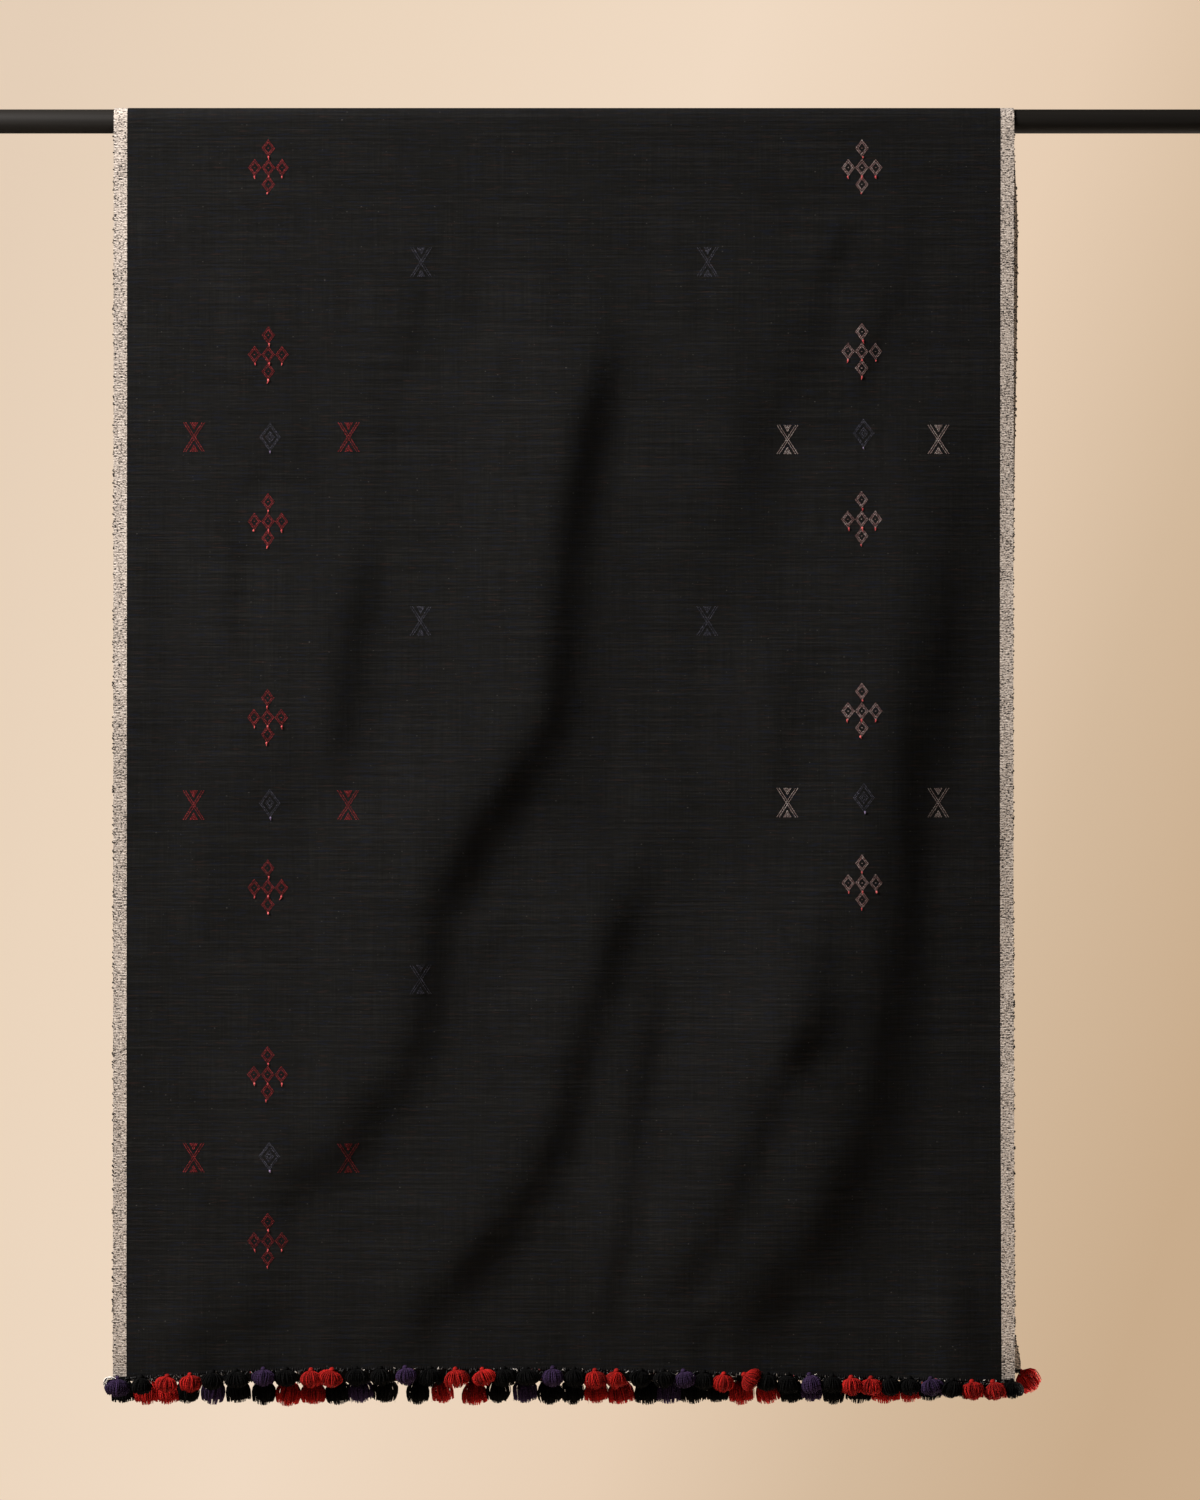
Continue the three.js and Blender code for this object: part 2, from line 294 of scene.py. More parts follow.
    def relief(self, height: Socket, depth: float, strength: float = 1.0) -> None:
        """Bumps the surface.

        Args:
            height: the height, from 0 to 1.
            depth: what a height of 1 is, in millimetres.
            strength: how much of the bump shows.
        """
        made = self.node("Bump", Height=height, Strength=strength, Distance=depth * MM)
        self.tree.links.new(made.outputs["Normal"], self.shader.inputs["Normal"])

    def paint(self, colour: Socket) -> None:
        """Links the base colour."""
        self.tree.links.new(colour, self.shader.inputs["Base Color"])


@dataclass(frozen=True)
class GroundFinish:
    """The near-black ground: a fine plain weave with thick and thin yarns both ways."""

    dark: Colour = (0.0050, 0.0049, 0.0046)
    mid: Colour = (0.0095, 0.0092, 0.0087)
    light: Colour = (0.0176, 0.0169, 0.0159)
    warm: Colour = (0.0190, 0.0125, 0.0110)
    cool: Colour = (0.0092, 0.0100, 0.0134)
    fleck: Colour = (0.060, 0.055, 0.051)
    weft: Grain = (9.0, 640.0, 1.0)
    slub: Grain = (95.0, 1050.0, 6.0)
    warp: Grain = (720.0, 18.0, 2.0)
    patch: Grain = (14.0, 40.0, 3.0)
    dye: Grain = (60.0, 700.0, 4.0)
    speck: Grain = (520.0, 760.0, 5.0)
    threads: Grain = (1500.0, 1500.0, 0.0)
    relief: float = 0.16

    def make(self) -> bpy.types.Material:
        """Builds the material.

        Returns:
            The finished material.
        """
        mix = Recipe("black slubbed cloth")
        mix.set(Roughness=0.9, Specular_IOR_Level=0.02)
        tone = mix.sum(mix.grain(self.weft), mix.grain(self.slub), 0.6)
        tone = mix.sum(tone, mix.grain(self.warp), 0.5)
        tone = mix.sum(tone, mix.grain(self.patch, 3.0), 0.25)
        tone = mix.step(tone, 0.76, 1.58)
        base = mix.ramp(tone, [(0.0, self.dark), (0.55, self.mid), (1.0, self.light)])
        hue = mix.grain(self.dye, 1.0)
        base = mix.blend(base, self.warm, mix.step(hue, 0.63, 0.78))
        base = mix.blend(base, self.cool, mix.step(hue, 0.44, 0.30))
        mix.paint(mix.blend(base, self.fleck, mix.step(mix.grain(self.speck, 0.0), 0.81, 0.90)))
        where = mix.place(*self.threads)
        weave = mix.sum(mix.wave(where, True, 0.4), mix.wave(where, False, 0.4), 1.0)
        mix.relief(mix.sum(weave, tone, 1.6), self.relief, 0.8)
        return mix.material


@dataclass(frozen=True)
class BorderFinish:
    """A selvedge: ivory and grey yarns twisted together, with dark flecks."""

    name: str
    # painted light: how much paler the pale yarns are painted; above 1 where a border stands in for more
    # light than the lamps give it
    painted_light_paleness: float = 1.0
    light: Colour = (0.54, 0.465, 0.40)
    mid: Colour = (0.36, 0.30, 0.255)
    bright: Colour = (0.70, 0.625, 0.55)
    fleck: Colour = (0.020, 0.018, 0.017)
    twist: Grain = (640.0, 1000.0, 1.0)
    streak: Grain = (240.0, 1250.0, 2.0)
    patch: Grain = (60.0, 45.0, 3.0)
    threads: Grain = (820.0, 820.0, 0.0)
    relief: float = 0.25

    def make(self) -> bpy.types.Material:
        """Builds the material.

        Returns:
            The finished material.
        """
        mix = Recipe(self.name)
        mix.set(Roughness=0.85, Specular_IOR_Level=0.25, Sheen_Weight=0.06)
        tone = mix.sum(mix.grain(self.twist), mix.grain(self.streak, 1.0), 0.6)
        tone = mix.sum(tone, mix.grain(self.patch, 3.0), 0.2)
        pale = ((0.42, self.mid), (0.72, self.light), (1.0, self.bright))
        stops = [(0.0, self.fleck), (0.29, self.fleck)]
        stops += [(at, tuple(self.painted_light_paleness * c for c in colour)) for at, colour in pale]
        mix.paint(mix.ramp(mix.step(tone, 0.63, 1.17), stops))
        threads = mix.wave(mix.place(*self.threads), False, 1.2)
        mix.relief(mix.sum(threads, tone, 1.2), self.relief, 0.8)
        return mix.material


@dataclass(frozen=True)
class YarnFinish:
    """Plied yarn, each strand a little lighter or darker than the next."""

    name: str
    dark: Colour
    light: Colour
    sheen: float = 0.05
    shine: float = 0.12
    plies: Grain = (1.0, 620.0, 0.0)
    ply_slant: float = 0.6
    relief: float = 0.22

    def make(self) -> bpy.types.Material:
        """Builds the material.

        Returns:
            The finished material.
        """
        mix = Recipe(self.name)
        mix.set(Roughness=0.85, Specular_IOR_Level=self.shine)
        mix.set(Sheen_Weight=self.sheen, Sheen_Roughness=0.4)
        fuzz = mix.grain(FUZZ)
        tone = mix.sum(mix.shade(), fuzz, 0.5)
        mix.paint(mix.ramp(mix.step(tone, 0.15, 1.3), [(0.0, self.dark), (1.0, self.light)]))
        twist = mix.node("Mapping", Vector=mix.place(*self.plies))
        twist.inputs["Rotation"].default_value = (0.0, 0.0, self.ply_slant)
        plies = mix.wave(twist.outputs["Vector"], False)
        mix.relief(mix.sum(plies, fuzz, 0.8), self.relief, 0.9)
        return mix.material


@dataclass(frozen=True)
class MixedYarnFinish:
    """Cut ends of several colours side by side, as along the hem."""

    name: str
    stops: tuple[tuple[float, Colour], ...]
    soil: Colour = (0.02, 0.018, 0.017)
    relief: float = 0.25

    def make(self) -> bpy.types.Material:
        """Builds the material.

        Returns:
            The finished material.
        """
        mix = Recipe(self.name)
        mix.set(Roughness=0.85, Specular_IOR_Level=0.25, Sheen_Weight=0.15)
        made = mix.ramp(mix.shade(), self.stops)
        made.node.color_ramp.interpolation = "CONSTANT"
        fuzz = mix.grain(FUZZ)
        mix.paint(mix.blend(made, self.soil, mix.step(fuzz, 0.5, 0.25)))
        mix.relief(fuzz, self.relief)
        return mix.material


@dataclass(frozen=True)
class RodFinish:
    """Matte black paint on drawn tube."""

    colour: Colour = (0.0084, 0.0071, 0.0059)
    lighter: float = 1.35
    drawing: tuple[float, float, float] = (6.0, 900.0, 900.0)
    grit: tuple[float, float, float] = (1800.0, 1800.0, 1800.0)
    relief: float = 0.04

    def make(self) -> bpy.types.Material:
        """Builds the material.

        Returns:
            The finished material.
        """
        mix = Recipe("matte black paint")
        mix.set(Specular_IOR_Level=0.12)
        grain = mix.noise(mix.inside(self.drawing), 3.0)
        pale = tuple(self.lighter * c for c in self.colour)
        mix.paint(mix.ramp(grain, [(0.3, self.colour), (0.7, pale)]))
        rough = mix.node("MapRange", Value=grain, From_Min=0.3, From_Max=0.7, To_Min=0.55, To_Max=0.63)
        mix.tree.links.new(rough.outputs["Result"], mix.shader.inputs["Roughness"])
        mix.relief(mix.sum(mix.noise(mix.inside(self.grit)), grain, 0.6), self.relief, 0.5)
        return mix.material


@dataclass(frozen=True)
class FloorFinish:
    """One pale, even colour."""

    colour: Colour = (0.66, 0.57, 0.48)
    darker: float = 0.97
    grain: tuple[float, float, float] = (40.0, 40.0, 40.0)

    def make(self) -> bpy.types.Material:
        """Builds the material.

        Returns:
            The finished material.
        """
        mix = Recipe("pale floor")
        mix.set(Roughness=0.8)
        dark = tuple(self.darker * c for c in self.colour)
        mix.paint(mix.ramp(mix.noise(mix.inside(self.grain), 3.0), [(0.3, dark), (0.7, self.colour)]))
        return mix.material


# How small shapes and hand-worked pieces become meshes


def deselect_all() -> None:
    """Clears the selection before a shape is worked on."""
    for shape in bpy.context.selected_objects:
        shape.select_set(False)


def apply_modifiers(shape: Shape) -> None:
    """Applies all of a shape's modifiers, in order.

    Args:
        shape: the shape, which stays the only one selected.
    """
    deselect_all()
    shape.select_set(True)
    bpy.context.view_layer.objects.active = shape
    for modifier in list(shape.modifiers):
        bpy.ops.object.modifier_apply(modifier=modifier.name)


def finish_piece(
    shape: Shape, material: bpy.types.Material, stands_for: Sequence[str] = ()
) -> Shape:
    """Gives a finished shape its material and its place in the frame.

    Args:
        shape: the finished shape.
        material: its material.
        stands_for: the plain nodes that it stands for.

    Returns:
        The same shape.
    """
    shape.data.materials.append(material)
    if stands_for:
        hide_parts(*stands_for)
    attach(shape, "root")
    LOG.info("%s: %d faces", shape.name, len(shape.data.polygons))
    return shape


def new_shape(name: str, points: Array, faces: Array, flats: Array) -> Shape:
    """Makes a smooth shape from its points and faces.

    Args:
        name: the shape's name.
        points: its points in millimetres, one to a row.
        faces: its quads, as rows of four point numbers.
        flats: the flat coordinates of each quad's corners.

    Returns:
        The new shape.
    """
    mesh = bpy.data.meshes.new(name)
    mesh.from_pydata((points * MM).tolist(), [], faces.tolist())
    flat = mesh.uv_layers.new(name="flat")
    flat.data.foreach_set("uv", flats.reshape(-1).astype(np.float32))
    mesh.shade_smooth()
    shape = bpy.data.objects.new(name, mesh)
    bpy.context.scene.collection.objects.link(shape)
    return shape


def tube_faces(rows: int, sides: int) -> tuple[Array, Array, Array]:
    """The quads of a tube whose points lie in rings.

    Args:
        rows: how many quads it has along it.
        sides: how many quads it has round it.

    Returns:
        The quads by row and side, as four point numbers, and the row and the side of each.
    """
    row, side = np.meshgrid(np.arange(rows), np.arange(sides), indexing="ij")
    after = (side + 1) % sides
    near, far = row * sides, (row + 1) * sides
    return np.stack([near + side, near + after, far + after, far + side], -1), row, side


def flat_corners(left: Array, right: Array, near: Array, far: Array) -> Array:
    """The flat coordinates of quads' corners.

    Args:
        left: each quad's left side.
        right: its right side.
        near: its near end.
        far: its far end.

    Returns:
        The four corners of each quad.
    """
    corners = ((left, near), (right, near), (right, far), (left, far))
    return np.stack([np.stack(corner, -1) for corner in corners], -2)


@dataclass
class Bundle:
    """Gathers many small shapes into one mesh.

    Points are in millimetres. Each has a shade from 0 to 1, and each face's corners have flat
    coordinates: turns round the shape, and metres along it.
    """

    points: list[Array] = field(default_factory=list)
    shades: list[Array] = field(default_factory=list)
    faces: list[Array] = field(default_factory=list)
    flats: list[Array] = field(default_factory=list)
    count: int = 0

    def add(self, points: Array, faces: Array, flats: Array, shades: Array) -> None:
        """Adds shapes.

        Args:
            points: their points, one to a row.
            faces: their quads, as rows of four point numbers from 0.
            flats: the flat coordinates of each quad's corners.
            shades: each point's shade.
        """
        self.points.append(points)
        self.faces.append(faces + self.count)
        self.flats.append(flats)
        self.shades.append(shades)
        self.count += len(points)

    def strands(
        self, paths: Array, radii: Array, shades: Array, sides: int = 4, capped: bool = True
    ) -> None:
        """Adds a round strand along each path.

        Args:
            paths: the strands' points, as strand, point and coordinate.
            radii: the radius at each point of each strand.
            shades: one shade for each strand.
            sides: how many sides a strand has, four where it is capped.
            capped: whether the ends are closed.
        """
        strands, steps, _ = paths.shape
        heading = unit(np.gradient(paths, axis=1))
        level = np.zeros_like(heading)
        level[..., 1] = 1.0
        steep = np.abs(heading[..., 1]) > 0.94
        level[steep] = (1.0, 0.0, 0.0)
        right = unit(np.cross(heading, level))
        up = np.cross(right, heading)
        turn = np.arange(sides)[:, None] * FULL_TURN / sides
        ring = np.cos(turn) * right[..., None, :] + np.sin(turn) * up[..., None, :]
        points = paths[:, :, None, :] + radii[:, :, None, None] * ring
        first = (np.arange(strands) * steps * sides)[:, None]
        quads, _, side = tube_faces(steps - 1, sides)
        quads = first[..., None, None] + quads
        pieces = np.linalg.norm(np.diff(paths, axis=1), axis=2)
        length = np.concatenate([np.zeros((strands, 1)), np.cumsum(pieces, axis=1)], 1) * MM
        near = np.broadcast_to(length[:, :-1, None], quads.shape[:3])
        far = np.broadcast_to(length[:, 1:, None], quads.shape[:3])
        left = np.broadcast_to(side / sides, quads.shape[:3])
        flats = flat_corners(left, left + 1 / sides, near, far)
        quads = quads.reshape(-1, 4)
        flats = flats.reshape(-1, 4, 2)
        if capped:
            start = first + np.arange(sides)[::-1]
            end = first + (steps - 1) * sides + np.arange(sides)
            quads = np.concatenate([quads, start, end])
            flats = np.concatenate([flats, np.zeros((2 * strands, 4, 2))])
        self.add(points.reshape(-1, 3), quads, flats, np.repeat(shades, steps * sides))

    def copies(self, shape: "Bundle", frames: Array, places: Array, shades: Array) -> None:
        """Adds a copy of a small shape at each place.

        Args:
            shape: the shape to copy.
            frames: the shape's own axes at each place, as rows.
            places: where each copy's origin goes.
            shades: one shade for each copy.
        """
        points = np.concatenate(shape.points)
        faces = np.concatenate(shape.faces)
        flats = np.tile(np.concatenate(shape.flats), (len(places), 1, 1))
        moved = np.einsum("pj,njk->npk", points, frames) + places[:, None, :]
        numbers = faces[None] + (np.arange(len(places)) * len(points))[:, None, None]
        self.add(moved.reshape(-1, 3), numbers.reshape(-1, 4), flats, np.repeat(shades, len(points)))

    def make(self, name: str) -> Shape:
        """Turns what was gathered into one shape.

        Args:
            name: the shape's name.

        Returns:
            The new shape.
        """
        shape = new_shape(name, *(np.concatenate(part) for part in (self.points, self.faces, self.flats)))
        shade = shape.data.attributes.new("shade", "FLOAT", "POINT")
        shade.data.foreach_set("value", np.concatenate(self.shades).astype(np.float32))
        shape.data.update()
        return shape


def ball(radius: float, squash: float = 1.0, sides: int = 8, rings: int = 5) -> Bundle:
    """A small round knot, as a bundle of one shape.

    Args:
        radius: its radius across.
        squash: its height over its width.
        sides: how many sides it has.
        rings: how many rows of faces it has from pole to pole.

    Returns:
        The bundle that holds it.
    """
    pole = math.pi / 2.0 - 0.05
    rise = np.linspace(-pole, pole, rings + 1)[:, None]
    turn = np.arange(sides) * FULL_TURN / sides
    wide = radius * np.cos(rise)
    points = np.broadcast_arrays(wide * np.cos(turn), wide * np.sin(turn), squash * radius * np.sin(rise))
    faces, row, side = tube_faces(rings, sides)
    lift = 2.0 * radius * MM / rings
    flats = flat_corners(side / sides, (side + 1) / sides, row * lift, (row + 1) * lift)
    made = Bundle()
    shades = np.full((rings + 1) * sides, 0.5)
    made.add(np.stack(points, -1).reshape(-1, 3), faces.reshape(-1, 4), flats.reshape(-1, 4, 2), shades)
    return made


# The cloth's shape


@dataclass(frozen=True)
class Fold:
    """A fold that runs down a fall, with a broad swell on its left and a steep right side."""

    depth: float
    width: float
    path: tuple[Point, ...]
    rise: float = 0.42
    die: float = 0.3
    reach: float = 4.5
    steps: int = 120

    def samples(self) -> tuple[Array, Array, Array, Array]:
        """Points along the path.

        Returns:
            The share of the path, the point, the direction and the share in a millimetre at each step.
        """
        knots = np.array(self.path, float)
        knots = np.concatenate([knots[:1], knots, knots[-1:]])
        spans = len(self.path) - 1
        share = np.linspace(0.0, 1.0, self.steps + 1)
        number = np.minimum((share * spans).astype(int), spans - 1)
        t = (share * spans - number)[:, None]
        a, b, c, d = (knots[number + i] for i in range(4))
        bend, twist = 2 * a - 5 * b + 4 * c - d, 3 * b - a - 3 * c + d
        at = 0.5 * (2 * b + (c - a) * t + bend * t**2 + twist * t**3)
        run = np.gradient(at, axis=0)
        return share, at, unit(run), 1.0 / (self.steps * np.linalg.norm(run, axis=1))

    def lift(self, x: Array, z: Array) -> Array:
        """How far the fold lifts the cloth out.

        Args:
            x: positions across.
            z: heights.

        Returns:
            The lift at each position.
        """
        least = np.full(x.shape, np.inf)
        share = np.zeros(x.shape)
        across = np.zeros(x.shape)
        for t, (px, pz), (dx, dz), rate in zip(*self.samples()):
            away = (x - px) ** 2 + (z - pz) ** 2
            nearer = away < least
            least = np.where(nearer, away, least)
            on = np.clip(((x - px) * dx + (z - pz) * dz) * rate, -0.5 / self.steps, 0.5 / self.steps)
            share = np.where(nearer, t + on, share)
            across = np.where(nearer, -(x - px) * dz + (z - pz) * dx, across)
        ends = smooth(share / self.rise) * smooth((1.0 - share) / self.die)
        fade = np.exp(-((across / (self.reach * self.width)) ** 2))
        return self.depth * (1.0 - np.tanh(across / self.width)) * fade * ends


@dataclass(frozen=True)
class Ripples:
    """The slight unevenness of hand-woven cloth: faint upright waves of many lengths."""

    seed: int
    height: float = 0.17
    count: int = 15
    widths: Span = (34.0, 170.0)
    lengths: Span = (240.0, 900.0)
    beats: Span = (500.0, 1500.0)
    fade: float = 160.0

    def lift(self, x: Array, z: Array) -> Array:
        """How far the ripples lift the cloth out.

        Args:
            x: positions across.
            z: heights.

        Returns:
            The lift at each position.
        """
        rng = np.random.default_rng(self.seed)
        total = np.zeros(x.shape)
        for _ in range(self.count):
            across = FULL_TURN / rng.uniform(*self.widths)
            down = FULL_TURN / rng.uniform(*self.lengths) * rng.choice((-1.0, 1.0))
            wave = np.sin(across * x + down * z + rng.uniform(0.0, ANY_PHASE))
            beat = FULL_TURN * z / rng.uniform(*self.beats)
            total += wave * np.sin(beat + rng.uniform(0.0, ANY_PHASE))
        return self.height * total * smooth(-z / self.fade)


@dataclass(frozen=True)
class Fall:
    """One of the two lengths of cloth that hang from the rod."""

    side: Side
    spread: float
    hem: tuple[Point, ...]
    left_edge: tuple[Point, ...]
    right_edge: tuple[Point, ...]
    folds: tuple[Fold, ...]
    creases: tuple[Fold, ...]
    ripples: Ripples
    start: float = 10.15
    half_width: float = 355.0

    @staticmethod
    def curve(rows: Sequence[Point], key: Array) -> Array:
        """A smooth curve through a short table.

        Args:
            rows: pairs of a key and a value.
            key: where to read it.

        Returns:
            The value at each key.
        """
        keys, values = (np.array(column, float) for column in zip(*sorted(rows)))
        slopes = np.zeros(len(keys))
        slopes[1:-1] = (values[2:] - values[:-2]) / (keys[2:] - keys[:-2])
        slopes[0] = (values[1] - values[0]) / (keys[1] - keys[0])
        slopes[-1] = (values[-1] - values[-2]) / (keys[-1] - keys[-2])
        i = np.clip(np.searchsorted(keys, key, side="right") - 1, 0, len(keys) - 2)
        span = keys[i + 1] - keys[i]
        t = np.clip((key - keys[i]) / span, 0.0, 1.0)
        return (
            values[i] * (1 + 2 * t) * (1 - t) ** 2 + slopes[i] * span * t * (1 - t) ** 2
            + values[i + 1] * t * t * (3 - 2 * t) - slopes[i + 1] * span * t * t * (1 - t)
        )

    def hem_height(self, x: Array) -> Array:
        """The height of the hem at positions across."""
        return self.curve(self.hem, x)

    def edges(self, z: Array) -> list[Array]:
        """The positions of the left and the right edge at heights."""
        return [self.curve([(b, a) for a, b in edge], z) for edge in (self.left_edge, self.right_edge)]

    def depth(self, x: Array, z: Array) -> Array:
        """How far the middle of the cloth stands out from the rod's axis.

        Args:
            x: positions across.
            z: heights.

        Returns:
            The depth at each position.
        """
        total = self.start + self.spread * z / self.hem[0][1] + self.ripples.lift(x, z)
        for fold in (*self.folds, *self.creases):
            total = total + fold.lift(x, z)
        return np.maximum(total, self.start)

    def at(self, across: Array, z: Array) -> Array:
        """Points on the middle of the cloth.

        Args:
            across: flat positions across the cloth, from minus to plus half its width.
            z: heights.

        Returns:
            The points, one to a row.
        """
        left, right = self.edges(z * self.hem[0][1] / self.hem_height(across))
        share = (across + self.half_width) / (2.0 * self.half_width)
        x = left + (right - left) * share
        return np.stack([x, self.side.value * self.depth(x, z), z], -1)

    def across_at(self, x: float, z: float) -> float:
        """The flat position across the cloth that lies at x, at a height."""
        left, right = self.edges(np.array(z))
        return float(self.half_width * (2.0 * (x - left) / (right - left) - 1.0))

    def frames(self, across: Array, z: Array, out: float = 0.0) -> tuple[Array, Array]:
        """Places on the cloth and the cloth's own axes there.

        Args:
            across: flat positions across the cloth.
            z: heights.
            out: how far out from the middle of the cloth the places are.

        Returns:
            The places, and at each the axes across, out and down, as rows.
        """
        here = self.at(across, z)
        sideways = unit(self.at(across + 0.5, z) - self.at(across - 0.5, z))
        down = unit(self.at(across, z - 0.5) - self.at(across, z + 0.5))
        outward = unit(np.cross(down, sideways)) * -self.side.value
        outward *= np.sign(outward[:, 1:2]) * self.side.value
        axes = np.stack([sideways, outward, np.cross(sideways, outward)], -2)
        axes[:, 2] *= -np.sign(axes[:, 2, 2:3])
        return here + outward * out, axes


FRONT = Fall(
    side=Side.FRONT,
    spread=9.0,
    hem=((-355, -990.5), (-240, -983.2), (-10, -982.3), (160, -986.5), (355, -992)),
    left_edge=((-355, 0), (-355, -500), (-355, -1000)),
    right_edge=((355, 0), (354, -500), (355, -1000)),
    folds=(
        Fold(6.6, 17, ((48, -130), (38, -183), (23, -241), (8, -321), (3, -379), (0, -425), (-8, -471),
                       (-29, -512), (-54, -550), (-82, -604), (-92, -640)), rise=0.2, die=0.22),
        Fold(5.6, 20, ((-30, -476), (-56, -536), (-84, -600), (-98, -656), (-104, -696), (-121, -742),
                       (-144, -777), (-178, -817), (-219, -848), (-262, -868)), rise=0.3, die=0.18),
        Fold(6.3, 17, ((66, -560), (50, -620), (29, -690), (15, -736), (4, -782), (-19, -834), (-52, -880),
                       (-98, -932), (-130, -990)), rise=0.18, die=0.2),
        Fold(8.2, 25, ((324, -190), (317, -241), (306, -345), (292, -437), (280, -529), (271, -621),
                       (259, -702), (246, -771), (223, -840), (188, -898), (144, -949), (87, -990)),
             rise=0.3, die=0.14),
        Fold(3.3, 22, ((228, -85), (207, -125), (188, -183), (160, -240), (144, -300), (135, -370),
                       (128, -450)), rise=0.3, die=0.4),
        Fold(4.4, 16, ((-152, -275), (-157, -354), (-166, -420), (-172, -483), (-176, -545))),
        Fold(3.2, 11, ((78, -640), (70, -713), (58, -782), (46, -874), (30, -960)), rise=0.3),
        Fold(4.8, 16, ((214, -590), (204, -650), (192, -710), (165, -771), (133, -851), (98, -909),
                       (52, -970)), rise=0.3, die=0.2),
        Fold(2.6, 14, ((190, -400), (180, -440), (175, -500), (170, -560))),
        Fold(2.6, 13, ((232, -682), (212, -708), (190, -734), (176, -756))),
        Fold(2.9, 14, ((306, -880), (318, -930), (330, -970), (348, -1040))),
        Fold(2.1, 13, ((-196, -930), (-240, -946), (-290, -960), (-345, -975))),
    ),
    creases=(
        Fold(0.9, 6, ((-47, -150), (-48, -190), (-52, -222), (-54, -240))),
        Fold(0.8, 6, ((-118, -120), (-120, -150), (-122, -180), (-121, -205))),
        Fold(1.0, 6, ((-238, -262), (-241, -272), (-244, -284), (-247, -296))),
        Fold(1.0, 7, ((-262, -300), (-258, -350), (-262, -400), (-268, -450))),
        Fold(1.2, 7, ((-44, -610), (-50, -636), (-58, -652), (-66, -668))),
        Fold(1.0, 6, ((228, -70), (222, -90), (214, -108), (206, -126))),
        Fold(1.1, 7, ((262, -110), (254, -150), (240, -190), (232, -230))),
        Fold(1.0, 7, ((150, -905), (128, -930), (110, -952), (96, -975))),
        Fold(0.9, 6, ((-320, -930), (-300, -945), (-282, -958), (-262, -976))),
        Fold(1.0, 8, ((60, -820), (52, -870), (40, -920), (30, -975))),
    ),
    ripples=Ripples(seed=7),
)

BACK = Fall(
    side=Side.BACK,
    spread=8.0,
    hem=((-355, -994), (-180, -994.5), (60, -994), (250, -993), (363, -987)),
    left_edge=((-355, 0), (-353, -500), (-356, -1000)),
    right_edge=((355, 0), (359, -90), (356, -330), (354.5, -800), (355, -950), (362, -988)),
    folds=(
        Fold(5.8, 19, ((-120, -150), (-104, -330), (-78, -500), (-34, -690), (12, -850), (64, -1050))),
        Fold(6.2, 21, ((186, -240), (190, -400), (202, -560), (232, -740), (296, -1050))),
        Fold(4.8, 18, ((-246, -370), (-262, -560), (-252, -760), (-212, -1050))),
        Fold(4.6, 16, ((56, -520), (80, -680), (128, -850), (204, -1050))),
        Fold(3.4, 15, ((-34, -790), (-52, -880), (-74, -960), (-104, -1050))),
    ),
    creases=(
        Fold(1.1, 7, ((250, -180), (246, -230), (240, -280), (238, -330))),
        Fold(1.0, 7, ((-180, -260), (-186, -310), (-184, -360), (-180, -410))),
        Fold(0.9, 6, ((20, -150), (14, -190), (12, -230), (14, -260))),
        Fold(1.2, 8, ((300, -870), (308, -910), (318, -950), (330, -990))),
        Fold(1.0, 7, ((-300, -820), (-294, -870), (-300, -910), (-310, -950))),
        Fold(1.0, 7, ((110, -300), (104, -350), (106, -400), (112, -440))),
    ),
    ripples=Ripples(seed=19),
)


